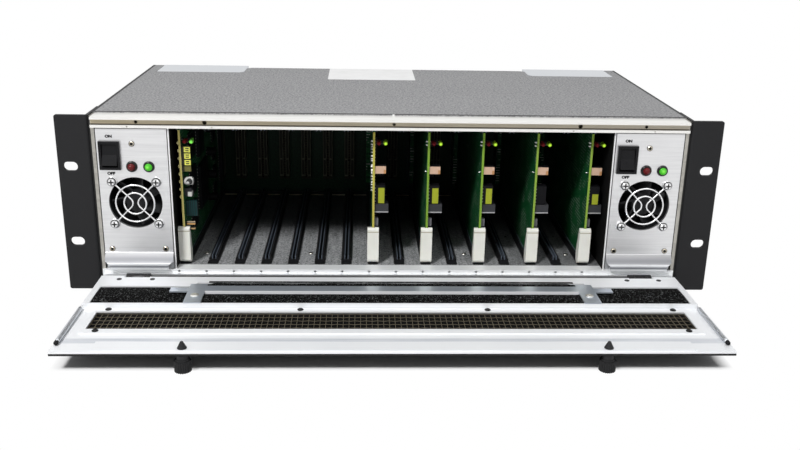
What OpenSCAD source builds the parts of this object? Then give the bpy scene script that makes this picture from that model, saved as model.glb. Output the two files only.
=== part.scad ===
// Modular card frame, three rack units high, with sixteen card slots, two power modules and a fold-down door.
// Millimetres. X is to the right, Y to the rear and Z up.
// The origin is the middle of the four rack slots, on the front face of the ears.

/* [Rack] */
// Distance between the ear slots across the frame
slot_span_x = 465.1; // [462:0.1:468]
// Distance between the ear slots upright
slot_span_z = 57.15; // [50:0.05:76.2]
// Distance from a slot's middle to the ear's outer edge
slot_edge = 8.75; // [7:0.05:10]
// Width of an ear
ear_w = 23.8; // [22:0.1:24]
// Height of the rack ears
rack_h = 132.5; // [131:0.1:136]
// Depth behind the backplane
rear_room = 20.6; // [20:0.1:80]
// Length of an ear slot
ear_slot_l = 10.3; // [8:0.1:12]
// Height of an ear slot
ear_slot_w = 6.8; // [5:0.1:8]
// Sheet thickness of an ear
ear_t = 2.5; // [1.5:0.1:3]
// Sheet thickness of a side panel
side_t = 1.6; // [1:0.1:1.8]
// Sheet thickness of the top cover and the base pan
sheet_t = 1; // [0.8:0.1:1.05]
// Height of a rubber foot
foot_h = 7; // [6.2:0.1:12]
// Diameter of a rubber foot
foot_d = 16; // [10:1:24]

/* [Rails] */
// Depth of the top rail
top_rail_d = 18; // [14:0.5:24]
// Height of the top rail
top_rail_h = 7.6; // [7:0.1:8.2]
// Width of the groove along the top rail
groove_h = 3.8; // [3.7:0.1:4.2]
// Depth of the groove along the top rail
groove_d = 2.4; // [1:0.1:3]
// Height of the lower rail's top face
low_rail_z = 16.2; // [15.9:0.1:16.6]

/* [Card cage] */
// Slot pitch, four fifths of an inch
slot_pitch = 20.32; // [19.5:0.01:20.32]
// Thickness of a circuit board
board_t = 1.6; // [1:0.1:1.8]
// Depth of a circuit board
board_d = 182; // [160:1:184]
// Distance from a slot's middle to its board
board_offset = 4; // [3:0.1:5]
// Width of a card guide
guide_w = 8; // [5:0.5:10]
// Height of a card guide
guide_h = 4.2; // [3:0.1:5]
// Width of an ejector
ejector_w = 8.6; // [6:0.1:10]
// Height of an ejector
ejector_h = 28.5; // [22:0.5:34]
// Thickness of the backplane
backplane_t = 2.4; // [1.6:0.1:3.2]

/* [Power modules] */
// Bay width of a power module
bay_w = 50.8; // [50:0.1:50.8]
// Thickness of a module's front plate
plate_t = 1.6; // [1:0.1:2]
// Air hole of a module's fan
fan_hole_d = 38.6; // [34:0.1:39]
// Side of the fan housing
fan_w = 40; // [39.5:0.1:41]
// Depth of the fan housing
fan_d = 20; // [15:1:28]
// Distance between the fan screws
fan_pitch = 32; // [31.5:0.1:32.5]
// Number of fan blades
blades = 7; // [5:1:9]
// Wire of the finger guard
wire_d = 1.3; // [1:0.1:1.8]
// Mean radius of the guard's outer ring
ring_r = 13.9; // [12:0.1:15]
// Mean radius of the guard's inner ring
inner_ring_r = 8; // [6:0.1:9.5]
// Width of the rocker switch
switch_w = 15; // [13:0.1:15.4]
// Height of the rocker switch
switch_h = 21; // [19:0.1:21.5]
// Diameter of a lamp's collar
lamp_d = 8.4; // [6:0.1:9]
// Throw of the rocker switch in degrees
rocker_throw = 24; // [16:1:28]

/* [Door] */
// Height of the hinge axis above the ears' lower edge
hinge_z = 12.1; // [11.9:0.1:12.6]
// Distance of the hinge axis before the ears
hinge_out = 7.5; // [7.4:0.1:9]
// Thickness of the outer skin
skin_t = 1.5; // [1:0.1:1.8]
// Thickness of the inner sheet
tray_t = 1.4; // [1:0.1:1.6]
// Height of the filter box above the inner sheet
box_h = 4.2; // [4:0.1:4.3]
// Depth of the filter box from its hinge edge
box_d = 51; // [49:0.5:52]
// Distance from the door's edge to the intake window
window_edge = 14.5; // [13.5:0.1:30]
// Depth of the intake window
window_d = 28; // [20:0.5:29]
// Diameter of a thumbscrew knob
knob_d = 11; // [9:0.1:12]
// Distance from the door's edge to a thumbscrew
thumb_edge = 82; // [50:0.5:120]
// Radius of the hinge knuckles
knuckle_r = 3; // [2.5:0.1:3.1]

/* [Hidden] */
$fn = 48;
// overrun of every cut past the face that it starts from
over = 1;
// clearance of a sliding piece, and the gap between pieces that only face each other
slide_gap = 0.3;
// radial clearance of a shaft in its bore
run_fit = 0.05;

// heights and depths of the chassis
base_lift = 1;
base_z = base_lift + sheet_t;
rail_drop = 1.1;
roof_z = rack_h - rail_drop;
rack_w = slot_span_x + 2 * slot_edge;
body_w = rack_w - 2 * ear_w;
half_w = body_w / 2;
inner_w = body_w - 2 * side_t;
rear_t = 1.5;
rear_step = 11;
corner_r = 1.5;
screw_r = 1.6;
head_r = 3;
head_h = 1.8;
head_taper = 0.7;
small_head_r = 2.1;
small_head_h = 0.9;
screw_shank_r = 1.5;

// top and lower rail profiles
top_rail_y = -2;
top_rail_z = roof_z - top_rail_h;
rail_wall = 1.6;
rail_neck = 10;
rail_shelf = 2.2;
groove_lip = 1.7;
groove_z = roof_z - groove_lip - groove_h;
low_rail_y = -1;
low_rail_d = 10;
low_rail_wall = 1.8;
rail_hole_r = 1;
rail_hole_drop = 1.6;
rail_hole_shift = 6.9;
lock_hole_r = 1.6;
lock_z = groove_z + groove_h / 2;
trim_hole_r = 1.2;
trim_hole_edge = 33.5;
trim_hole_x = half_w - trim_hole_edge;
lip_hole_edge = 27.5;
lip_hole_x = half_w - lip_hole_edge;
lip_hole_in = 60;

// card cage
partition_t = 1;
partition_gap = 0.3;
side_flange_w = 4.14;
bay_x = half_w - side_flange_w - bay_w / 2;
partition_x = bay_x - bay_w / 2 - partition_gap - partition_t;
// as many slots as fit between the partitions, with the first board beside the left one
slots = floor((2 * partition_x + board_offset) / slot_pitch);
cage_w = slots * slot_pitch;
first_slot_x = -cage_w / 2 + slot_pitch / 2;
floor_t = 1;
floor_y = low_rail_y + low_rail_d;
board_y = 12;
groove_clear = 0.2;
guide_floor = 1.2;
board_z = low_rail_z + guide_floor + groove_clear;
board_top = top_rail_z - guide_floor - groove_clear;
guide_base_h = 1.4;
guide_neck_w = 5.2;
guide_past = 4;
ejector_room_d = 6.4;
guide_front = board_y + ejector_room_d;
guide_end = board_y + board_d + guide_past;
heel_y = 12;
heel_d = 4;
connector_gap = 2;
connector_d = 10;
backplane_y = board_y + board_d + connector_gap + connector_d;
body_d = backplane_y + backplane_t + rear_room;
rear_y = body_d - rear_t;
case_d = board_d + connector_gap;
rear_rail_d = 14;
rear_rail_y = backplane_y - rear_rail_d;
connector_w = 9;
connector_h = 64;
connector_z = 31.5;
connector_split = 17.5;
connector_bar = 1.4;
contact_slot_w = 2;
contact_slot_d = 4;

// rear panel
rear_tab_w = 78;
rear_tab_edge = 9.5;
rear_tab_out = half_w - rear_tab_edge;
rear_tab_in = rear_tab_out - rear_tab_w;
rear_tab_d = 38;
tab_slant = 4;
inlet_w = 27;
inlet_h = 20;
inlet_z = 40;
inlet_deep = 16;
inlet_rim = 3;
inlet_rim_t = 2;
inlet_pin_w = 2;
inlet_pin_h = 4;
inlet_pin_span = 14;
inlet_pin_rise = 4;
bnc_r = 4.8;
bnc_len = 12;
bnc_flange_r = 6.4;
bnc_flange_t = 2.4;
bnc_lug_r = 1;
bnc_lug_out = 1.2;
bnc_bore_r = 3.6;
bnc_bore_d = 3;
bnc_pin_r = 1;
bnc_pitch = 17;
bnc_rows = 5;
bnc_z = 32;

// cover
cover_front = 13.5;
cover_rear = body_d - rear_step;
cover_flange_h = 11;
ear_leg_t = 2;
ear_leg_d = 32;

// door, measured from its hinge axis
hinge_y = -hinge_out;
door_reach = roof_z - hinge_z;
door_edge_y = hinge_y - door_reach;
door_w = body_w;
sheet_z = hinge_z - 2.1;
skin_z = sheet_z - tray_t - skin_t;
tray_z = sheet_z - tray_t;
rim_z = sheet_z + box_h;
door_near = 2;
door_back_y = hinge_y - door_near;
box_edge = 3;
box_w = body_w - 2 * box_edge;
box_wall = 1;
flange_side = 4.5;
flange_back = 20;
flange_mid = 13;
flange_mid_edge = 75.5;
flange_mid_x = half_w - flange_mid_edge;
box_front_y = door_back_y - box_d;
foam_gap = 0.3;
foam_t = box_h - box_wall - foam_gap;
foam_w = box_w - 2 * box_wall - 2 * foam_gap;
foam_y0 = box_front_y + box_wall + foam_gap;
foam_lap = 1;
foam_d = box_d - flange_mid + foam_lap - box_wall - foam_gap;
rib_count = 5;
rib_pitch = 38;
rib_slot = 32;
hinge_edge = 29.5;
hinge_x = half_w - hinge_edge;
notch_w = 18.4;
notch_d = 3;
window_w = body_w - 2 * window_edge;
thumb_x = half_w - thumb_edge;
frame_border = 3;
frame_t = 1;
frame_gap = 0.5;
frame_far = 6;
frame_near = 6.3;
window_y = box_front_y - frame_gap - frame_far;
mesh_t = 0.8;
mesh_wire = 0.9;
mesh_cols = 48;
mesh_rows = 5;
mesh_lap = 1.5;
mesh_play = 0.5;
stiffener_edge = 26;
stiffener_x = half_w - stiffener_edge;
stiffener_d = 12.6;
stiffener_t = 0.8;
stiffener_inset = 0.6;
thumb_inset = roof_z - lock_z;
thumb_y = door_edge_y + thumb_inset;
shank_r = 2.5;
cone_r = 3.1;
cone_h = 4.4;
cone_tip_r = 0.9;
neck_r = 3.9;
neck_h = 3;
ring_t = 1.2;
knob_h = 7.2;
knob_teeth = 24;
tooth_depth = 0.5;
arm_len = 51;
arm_r = 1.9;
arm_inset = 2.4;
arm_y0 = box_front_y - 4 - arm_len;
tip_len = 3.2;
tip_r = 2.3;
bar_t = 1;
bar_edge = 83.5;
bar_x = half_w - bar_edge;
bar_far = 21.5;
bar_d = 10.5;
clip_w = 12;
clip_reach = 25;
clip_arm_d = 7;
clip_arm_in = 11;
bar_fold = 1;
clip_lap = 2;
frame_screw_edge = 21.5;
frame_screw_x = half_w - frame_screw_edge;
frame_screw_mid = 65;

// hinge
leaf_t = 1;
pin_r = 1.25;
knuckle_len = 8;
knuckle_gap = 0.3;
leaf_knuckle_len = 4.3;
leaf_d = 7;
leaf_z = rim_z - box_wall - leaf_t;
leaf_screw_x = 12;
leaf_screw_y = door_back_y - leaf_d;
leaf_screw_h = 0.3;
leaf_screw_r = 1.8;
strip_t = 1.5;
strip_top = hinge_z + 1.2;
strip_front = hinge_y + knuckle_r + slide_gap;
strip_len = body_w - 2 * box_edge;

// power module
plate_w = bay_w - 2 * slide_gap;
plate_top = top_rail_z - 1;
crease_z = 29.4;
lip_out = 4.7;
lip_top = 22;
lip_z = low_rail_z + 0.9;
lip_w = 43.5;
lip_return = 2.6;
fold_drop = plate_t * tan(atan(lip_out / (crease_z - lip_top)) / 2);
fan_z = 67.8;
switch_dx = -16;
switch_z = 103.3;
switch_rim = 2;
switch_seat = 1;
seat_play = 0.1;
switch_body = 14;
switch_frame = 1.9;
rocker_gap = 0.35;
rocker_w = switch_w - 2 * switch_frame - 2 * rocker_gap;
rocker_well = 5;
rocker_pivot_y = 1;
rocker_front = 3.1;
rocker_back = 2.6;
rocker_dip = 1.2;
rocker_end_gap = 0.9;
rocker_half_h = switch_h / 2 - switch_frame - rocker_end_gap;
rocker_pin_r = 0.8;
rocker_pin_out = 0.9;
lamp_z = 95;
lamp_dx = [-1, 11.2];
lamp_rim = 1.6;
lamp_seat = 0.6;
lamp_body = 8;
lens_r = 2.6;
top_screw_z = 112;
low_screw_z = 32;
low_screw_dx = 19.6;
case_wall = 0.8;
case_w = plate_w - case_wall;
case_top = top_rail_z - 1.2;
case_z = low_rail_z + slide_gap;
vent_w = 3;
vent_pitch = 6;
vent_rows = 10;
vent_l = 30;
fan_y = plate_t + case_wall;
rotor_in = 1.5;
screw_in = 12;
hub_r = 8;
hub_depth = 12;
blade_r = fan_hole_d / 2 - 1;
blade_t = 1;
blade_turn = 38;
axle_r = 1.5;
stator_t = 3;
strut_w = 3;
loop_r = 3.2;
ring_lift = 1.1;
wire_gap = 1.9;
// the drawn-out straight wire is a touch thinner than its bent part
straight_share = 0.95;

// card fittings
corner_cut = 3;
led_z = 111;
led_r = 1.5;
led_len = 4;
led_leg = 2;
led_red_x = 3.7;
led_green_x = 8.6;
ejector_t = 6.5;
ejector_play = 0.35;
ejector_slot = board_t + 2 * ejector_play;
pivot_y = board_y + 2;
pivot_z = board_z + 3.4;
pivot_r = 1.5;
foot_r = 4;
web_t = 1.35;
card_blocks = [
    [8.3, 1, 87.6, 6, 5.9],
    [8, 1.5, 64.4, 7, 14.1],
    [10.5, 2, 56.6, 9, 7.1],
    [3, 3, 46, 4, 6],
    [2.2, 24, 34, 22, 20],
    [2.2, 24, 62, 22, 20],
    [2.2, 24, 90, 22, 20],
    [1.6, 58, 30, 14, 12],
    [1.6, 58, 52, 14, 12],
    [1.6, 58, 74, 14, 12],
    [1.6, 58, 96, 14, 12],
    [4.5, 100, 66, 40, 40],
    [2.5, 100, 28, 28, 28],
    [2, 150, 30, 12, 9],
    [2, 150, 46, 12, 9],
    [2, 150, 62, 12, 9],
    [2, 150, 78, 12, 9],
    [2, 150, 94, 12, 9]
];
card_cans = [
    [9, 84, 38, 4],
    [9, 84, 64, 4],
    [9, 84, 90, 4]
];
controller_blocks = [
    [6.5, 1, 88, 4, 4.2],
    [6.5, 1, 92.9, 4, 4.2],
    [6.5, 1, 97.8, 4, 4.2],
    [6.5, 1, 102.7, 4, 4.2],
    [5.5, 4, 68, 6, 6],
    [9, 6, 52, 3, 12],
    [7, 3, 42, 2, 2.2],
    [7, 3, 46, 2, 2.2],
    [2.2, 26, 34, 22, 20],
    [2.2, 26, 62, 22, 20],
    [2.2, 26, 90, 22, 20],
    [3, 60, 40, 36, 36],
    [3, 60, 84, 24, 24],
    [2, 135, 30, 14, 9],
    [2, 135, 46, 14, 9],
    [2, 135, 62, 14, 9],
    [2, 135, 78, 14, 9],
    [2, 135, 94, 14, 9]
];
controller_cans = [
    [7, 5, 80, 3],
    [8, 110, 36, 3.5],
    [8, 110, 56, 3.5],
    [8, 110, 76, 3.5],
    [8, 110, 96, 3.5]
];

function slot_x(i) = first_slot_x + i * slot_pitch;
function board_x(i) = slot_x(i) - board_offset;

// the whole model is drawn from the ears' lower edge, and this brings the origin to the slots' middle
module in_frame() {
    translate([0, 0, -rack_h / 2]) children();
}

module both_sides() {
    children();
    mirror([1, 0, 0]) children();
}

// a cylinder along Y, from its front end to the rear
module rod_y(r, len) {
    rotate([-90, 0, 0]) cylinder(r = r, h = len);
}

// a cylinder along X, centred
module rod_x(r, len) {
    rotate([0, 90, 0]) cylinder(r = r, h = len, center = true);
}

// a profile drawn as (y, z) points, run along X and centred
module run_x(points, len) {
    translate([-len / 2, 0, 0])
        rotate([90, 0, 90]) linear_extrude(height = len) polygon(points);
}

// a pan head with a cross recess on a face that looks to the front
module front_head(r, h) {
    difference() {
        union() {
            translate([0, -h / 2, 0]) rod_y(r, h / 2);
            translate([0, -h, 0]) rotate([-90, 0, 0]) cylinder(r1 = r * head_taper, r2 = r, h = h / 2);
        }
        translate([0, -h, 0]) cube([r, h / 2, r / 4], center = true);
        translate([0, -h, 0]) cube([r / 4, h / 2, r], center = true);
    }
}

// the same head on a face that looks up
module top_head(r, h) {
    rotate([-90, 0, 0]) front_head(r, h);
}

// Chassis

module side_panel(side) in_frame() color("silver") on_side(side) {
    translate([half_w - side_t, low_rail_y + rail_wall, base_z])
        cube([side_t, rear_y - low_rail_y - rail_wall, roof_z - base_z]);
    translate([half_w - side_flange_w, low_rail_y + rail_wall, low_rail_z])
        cube([side_flange_w, side_t, top_rail_z - low_rail_z]);
}

// a piece drawn on the right, or its mirror image on the left
module on_side(side) {
    if (side < 0) mirror([1, 0, 0]) children();
    else children();
}

module ear_slot(z) {
    span = (ear_slot_l - ear_slot_w) / 2;
    for (s = [-1, 1])
        translate([slot_span_x / 2 + s * span, -over, z]) rod_y(ear_slot_w / 2, ear_t + 2 * over);
    translate([slot_span_x / 2 - span, -over, z - ear_slot_w / 2])
        cube([2 * span, ear_t + 2 * over, ear_slot_w]);
}

module rack_ear(side) in_frame() color([0.09, 0.09, 0.1]) on_side(side) difference() {
    union() {
        translate([rack_w / 2 - corner_r, 0, 0]) {
            for (z = [corner_r, rack_h - corner_r]) translate([0, 0, z]) rod_y(corner_r, ear_t);
            translate([0, 0, corner_r]) cube([corner_r, ear_t, rack_h - 2 * corner_r]);
        }
        translate([half_w + ear_t, 0, 0]) cube([rack_w / 2 - corner_r - half_w - ear_t, ear_t, rack_h]);
        translate([half_w, ear_t, 0]) cube([ear_leg_t, ear_leg_d - ear_t, rack_h]);
        intersection() {
            translate([half_w + ear_t, ear_t, 0]) cylinder(r = ear_t, h = rack_h);
            translate([half_w, 0, 0]) cube([ear_t, ear_t, rack_h]);
        }
    }
    for (s = [-1, 1]) ear_slot(rack_h / 2 + s * slot_span_z / 2);
}

// plan of the cover: it steps back at each end of its rear edge, where the rear tabs lie
function cover_edge() = [
    [rear_tab_in - slide_gap - tab_slant, cover_rear],
    [rear_tab_in - slide_gap, cover_rear - tab_slant],
    [rear_tab_in - slide_gap, body_d - rear_tab_d - slide_gap],
    [rear_tab_out + slide_gap, body_d - rear_tab_d - slide_gap],
    [rear_tab_out + slide_gap, rear_y],
    [half_w, rear_y],
    [half_w, cover_front]
];

module top_cover() in_frame() color([0.62, 0.62, 0.63]) {
    right = cover_edge();
    left = [for (i = [len(right) - 1 : -1 : 0]) [-right[i][0], right[i][1]]];
    translate([0, 0, roof_z]) linear_extrude(height = sheet_t) polygon(concat(right, left));
    both_sides() {
        translate([half_w, ear_leg_d + slide_gap, roof_z + sheet_t - cover_flange_h])
            cube([sheet_t, rear_y - ear_leg_d - slide_gap, cover_flange_h]);
    }
}

module base_pan() in_frame() color("silver") difference() {
    translate([-half_w, 0, base_lift]) cube([body_w, rear_y, sheet_t]);
    translate([-rear_tab_in, body_d - rear_step, base_lift - over])
        cube([2 * rear_tab_in, rear_step, sheet_t + 2 * over]);
    for (i = [0 : slots - 1]) for (row = [1 : 3])
        translate([slot_x(i) - vent_w / 2, row * body_d / 4 - vent_l / 2, base_lift - over])
            cube([vent_w, vent_l, sheet_t + 2 * over]);
}

module top_rail() in_frame() color([0.9, 0.9, 0.89]) difference() {
    run_x([
        [top_rail_y, roof_z],
        [top_rail_y + top_rail_d, roof_z],
        [top_rail_y + top_rail_d, roof_z - rail_shelf],
        [top_rail_y + rail_neck, roof_z - rail_shelf],
        [top_rail_y + rail_neck, top_rail_z],
        [top_rail_y, top_rail_z],
        [top_rail_y, groove_z],
        [top_rail_y + groove_d, groove_z],
        [top_rail_y + groove_d, groove_z + groove_h],
        [top_rail_y, groove_z + groove_h]
    ], inner_w);
    run_x([
        [top_rail_y + groove_d + rail_wall, top_rail_z + rail_wall],
        [top_rail_y + rail_neck - rail_wall, top_rail_z + rail_wall],
        [top_rail_y + rail_neck - rail_wall, roof_z - rail_shelf],
        [top_rail_y + groove_d + rail_wall, roof_z - rail_shelf]
    ], inner_w + 2 * over);
    both_sides() {
        translate([thumb_x, top_rail_y, lock_z]) rod_y(lock_hole_r, top_rail_d / 2);
        translate([trim_hole_x, top_rail_y, lock_z]) rod_y(trim_hole_r, groove_d + 2 * rail_wall);
        for (x = [lip_hole_x, lip_hole_x - lip_hole_in])
            translate([x, top_rail_y - over, (top_rail_z + groove_z) / 2]) rod_y(trim_hole_r / 2, over + rail_wall);
    }
    translate([0, top_rail_y, lock_z]) rod_y(trim_hole_r, groove_d + 2 * rail_wall);
}

module bottom_rail() in_frame() color([0.9, 0.9, 0.89]) difference() {
    run_x([
        [low_rail_y, base_z],
        [low_rail_y, low_rail_z],
        [low_rail_y + low_rail_d, low_rail_z],
        [low_rail_y + low_rail_d, base_z],
        [low_rail_y + low_rail_d - low_rail_wall, base_z],
        [low_rail_y + low_rail_d - low_rail_wall, low_rail_z - low_rail_wall],
        [low_rail_y + low_rail_wall, low_rail_z - low_rail_wall],
        [low_rail_y + low_rail_wall, base_z]
    ], inner_w);
    for (i = [0 : slots - 1])
        translate([slot_x(i) - rail_hole_shift, low_rail_y - over, low_rail_z - rail_hole_drop])
            rod_y(rail_hole_r, low_rail_wall + over);
}

module hinge_strip() in_frame() color([0.88, 0.88, 0.88]) difference() {
    union() {
        run_x([
            [strip_front, strip_top],
            [low_rail_y, strip_top],
            [low_rail_y, base_z],
            [low_rail_y - strip_t, base_z],
            [low_rail_y - strip_t, strip_top - strip_t],
            [strip_front, strip_top - strip_t]
        ], strip_len);
        both_sides() translate([hinge_x, 0, 0]) {
            translate([0, hinge_y, hinge_z]) rod_x(knuckle_r, knuckle_len);
            translate([-knuckle_len / 2, hinge_y, strip_top - strip_t - leaf_t])
                cube([knuckle_len, low_rail_y - strip_t - hinge_y, leaf_t + strip_t]);
        }
    }
    both_sides() translate([hinge_x, hinge_y, hinge_z]) rod_x(pin_r + run_fit, knuckle_len + 2 * over);
}

module rear_rails() in_frame() color("silver") {
    run_x([
        [rear_rail_y, top_rail_z],
        [rear_rail_y, roof_z],
        [backplane_y, roof_z],
        [backplane_y, top_rail_z],
        [backplane_y - rail_wall, top_rail_z],
        [backplane_y - rail_wall, roof_z - rail_wall],
        [rear_rail_y + rail_neck, roof_z - rail_wall],
        [rear_rail_y + rail_neck, top_rail_z]
    ], inner_w);
    run_x([
        [rear_rail_y, base_z],
        [rear_rail_y, low_rail_z - floor_t],
        [backplane_y, low_rail_z - floor_t],
        [backplane_y, base_z],
        [backplane_y - rail_wall, base_z],
        [backplane_y - rail_wall, low_rail_z - floor_t - rail_wall],
        [rear_rail_y + rail_wall, low_rail_z - floor_t - rail_wall],
        [rear_rail_y + rail_wall, base_z]
    ], inner_w);
}

// section of a card guide, with its groove open upwards
module guide_section() {
    half_groove = board_t / 2 + groove_clear;
    polygon([
        [-guide_w / 2, 0],
        [guide_w / 2, 0],
        [guide_w / 2, guide_base_h],
        [guide_neck_w / 2, guide_base_h + (guide_w - guide_neck_w) / 2],
        [guide_neck_w / 2, guide_h],
        [half_groove, guide_h],
        [half_groove, guide_floor],
        [-half_groove, guide_floor],
        [-half_groove, guide_h],
        [-guide_neck_w / 2, guide_h],
        [-guide_neck_w / 2, guide_base_h + (guide_w - guide_neck_w) / 2],
        [-guide_w / 2, guide_base_h]
    ]);
}

// the lower guide starts with a flat nose, which lies under the ejector of a card
module card_guides() in_frame() color([0.06, 0.06, 0.07]) for (i = [0 : slots - 1]) {
    translate([board_x(i), guide_end, low_rail_z])
        rotate([90, 0, 0]) linear_extrude(height = guide_end - guide_front) guide_section();
    translate([board_x(i), guide_end, top_rail_z])
        rotate([90, 0, 0]) mirror([0, 1, 0])
            linear_extrude(height = guide_end - heel_y) guide_section();
    translate([board_x(i) - guide_w / 2, heel_y, top_rail_z])
        cube([guide_w, heel_d, roof_z - rail_shelf - top_rail_z]);
}

module cage_floor() in_frame() color([0.35, 0.36, 0.37]) difference() {
    translate([-inner_w / 2, floor_y, low_rail_z - floor_t])
        cube([inner_w, backplane_y - floor_y, floor_t]);
    for (i = [0 : slots - 2]) for (row = [1, 2])
        translate([board_x(i) + slot_pitch / 2, row * body_d / 3, low_rail_z - floor_t - over])
            cylinder(r = trim_hole_r, h = floor_t + 2 * over);
}

module partitions() in_frame() color([0.75, 0.76, 0.78]) both_sides()
    translate([partition_x, partition_gap, low_rail_z])
        cube([partition_t, backplane_y - partition_gap, top_rail_z - low_rail_z]);

module backplane() in_frame() color([0.05, 0.2, 0.1])
    translate([-inner_w / 2, backplane_y, base_z])
        cube([inner_w, backplane_t, roof_z - base_z]);

// one card connector, open to the front with a long contact slot in each half
module slot_connector() difference() {
    translate([-connector_w / 2, -connector_d, 0]) cube([connector_w, connector_d, connector_h]);
    translate([-contact_slot_w / 2, -connector_d - over, connector_bar])
        cube([contact_slot_w, contact_slot_d + over, connector_split - 2 * connector_bar]);
    translate([-contact_slot_w / 2, -connector_d - over, connector_split])
        cube([contact_slot_w, contact_slot_d + over, connector_h - connector_split - connector_bar]);
}

module slot_connectors() in_frame() color([0.3, 0.27, 0.18]) {
    for (i = [0 : slots - 1]) translate([board_x(i), backplane_y, connector_z]) slot_connector();
    both_sides() translate([bay_x, backplane_y, connector_z]) slot_connector();
}

// the controller is in the first slot, and the five cards in every second slot from the last
function card_slot(i) = i == 0 ? 0 : slots - 11 + 2 * i;

// depth of the rear panel's inner face at a place across the frame
function panel_y(x) = rear_y - (abs(x) < rear_tab_in ? rear_step : 0);

module bnc_places() {
    for (i = [0 : 5]) for (row = [0 : bnc_rows - 1])
        translate([slot_x(card_slot(i)), panel_y(slot_x(card_slot(i))), bnc_z + row * bnc_pitch])
            children();
}

module inlet_places() {
    for (s = [-1, 1]) translate([s * bay_x, rear_y, inlet_z]) children();
}

// plan of the rear panel: recessed behind the cards and full depth behind the power modules
module rear_panel() in_frame() color([0.85, 0.85, 0.86]) difference() {
    union() {
        translate([0, 0, base_z]) linear_extrude(height = roof_z - base_z) difference() {
            translate([-half_w, 0]) square([body_w, body_d]);
            translate([-half_w - over, -over]) square([body_w + 2 * over, rear_y - rear_step + over]);
            both_sides() translate([rear_tab_in + rear_t, -over])
                square([half_w, rear_y + over]);
            translate([-rear_tab_in, body_d - rear_step]) square([2 * rear_tab_in, rear_step + over]);
        }
        both_sides() translate([0, 0, roof_z]) linear_extrude(height = sheet_t) polygon([
            [rear_tab_in, body_d],
            [rear_tab_out, body_d],
            [rear_tab_out, body_d - rear_tab_d],
            [rear_tab_in + tab_slant, body_d - rear_tab_d],
            [rear_tab_in, body_d - rear_tab_d + tab_slant]
        ]);
    }
    bnc_places() translate([0, -over, 0]) rod_y(bnc_r + slide_gap, rear_t + 2 * over);
    inlet_places() translate([-inlet_w / 2, -over, -inlet_h / 2]) cube([inlet_w, rear_t + 2 * over, inlet_h]);
    both_sides() for (row = [0 : vent_rows - 1])
        translate([bay_x - vent_l / 2, rear_y - over, inlet_z + inlet_h + row * vent_pitch])
            cube([vent_l, rear_t + 2 * over, vent_w]);
}

module bnc_jack() difference() {
    union() {
        translate([0, -bnc_flange_t, 0]) rod_y(bnc_flange_r, bnc_flange_t);
        rod_y(bnc_r, rear_t);
        translate([0, rear_t, 0]) rod_y(bnc_flange_r, bnc_flange_t);
        rod_y(bnc_r, rear_t + bnc_len);
        translate([0, bnc_len - bnc_lug_out, 0])
            cylinder(r = bnc_lug_r, h = 2 * (bnc_r + bnc_lug_out), center = true);
    }
    difference() {
        translate([0, rear_t + bnc_len - bnc_bore_d, 0]) rod_y(bnc_bore_r, bnc_bore_d + over);
        rod_y(bnc_pin_r, rear_t + bnc_len);
    }
}

module mains_inlet() {
    difference() {
        union() {
            translate([-inlet_w / 2, rear_t - inlet_deep, -inlet_h / 2]) cube([inlet_w, inlet_deep, inlet_h]);
            translate([-inlet_w / 2 - inlet_rim, rear_t, -inlet_h / 2 - inlet_rim])
                cube([inlet_w + 2 * inlet_rim, inlet_rim_t, inlet_h + 2 * inlet_rim]);
        }
        translate([-inlet_w / 2 + inlet_rim_t, rear_t - inlet_deep + inlet_rim_t, -inlet_h / 2 + inlet_rim_t])
            cube([inlet_w - 2 * inlet_rim_t, inlet_deep + over, inlet_h - 2 * inlet_rim_t]);
    }
    for (s = [-1, 0, 1])
        translate([s * inlet_pin_span / 2, rear_t - inlet_deep, s == 0 ? inlet_pin_rise : 0])
            translate([-inlet_pin_w / 2, 0, -inlet_pin_h / 2]) cube([inlet_pin_w, inlet_deep, inlet_pin_h]);
}

module coax_jacks() in_frame() color([0.7, 0.7, 0.72]) bnc_places() bnc_jack();

module mains_inlets() in_frame() color([0.06, 0.06, 0.06]) inlet_places() mains_inlet();

module feet() in_frame() color([0.08, 0.08, 0.08]) both_sides()
    for (y = [foot_d, body_d - foot_d])
        translate([bay_x, y, base_lift - foot_h]) {
            cylinder(r1 = foot_d / 2 - foot_h / 5, r2 = foot_d / 2, h = foot_h);
        }

module chassis_screws() in_frame() color([0.12, 0.12, 0.13]) both_sides() {
    for (z = [rack_h / 6, rack_h / 2, rack_h * 5 / 6])
        translate([half_w + ear_leg_t, ear_leg_d - 2 * ear_slot_w, z]) side_head();
    for (y = [body_d / 3, body_d / 2, body_d * 5 / 6])
        translate([half_w + sheet_t, y, roof_z - cover_flange_h / 2]) side_head();
    for (z = [rack_h / 6, rack_h * 5 / 6])
        translate([rear_tab_in + 2 * head_r, body_d, z]) rotate([0, 0, 180]) front_head(head_r, head_h);
}

// a pan head on a face that looks to the right
module side_head() {
    rotate([0, 0, 90]) front_head(head_r, head_h);
}

// Door, lying open

module door_windows(z, t, grow) {
    translate([-window_w / 2 - grow, window_y - window_d - grow, z - over])
        cube([window_w + 2 * grow, window_d + 2 * grow, t + 2 * over]);
}

module door_skin() in_frame() color([0.07, 0.07, 0.08]) difference() {
    translate([-door_w / 2, door_edge_y, skin_z]) cube([door_w, door_back_y - door_edge_y, skin_t]);
    door_windows(skin_z, skin_t, 0);
    // ribs are left between the air slots under the filter
    for (i = [-rib_count : rib_count])
        translate([i * rib_pitch - rib_slot / 2, foam_y0 + flange_side, skin_z - over])
            cube([rib_slot, foam_d - 2 * flange_side, skin_t + 2 * over]);
    hinge_notches(skin_z);
    both_sides() translate([thumb_x, thumb_y, skin_z - over])
        cylinder(r = shank_r + run_fit, h = skin_t + 2 * over);
}

// room for the fixed knuckles
module hinge_notches(z) {
    both_sides() translate([hinge_x - notch_w / 2, door_back_y - notch_d, z - over])
        cube([notch_w, notch_d + over, rim_z - z + 2 * over]);
}

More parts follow.
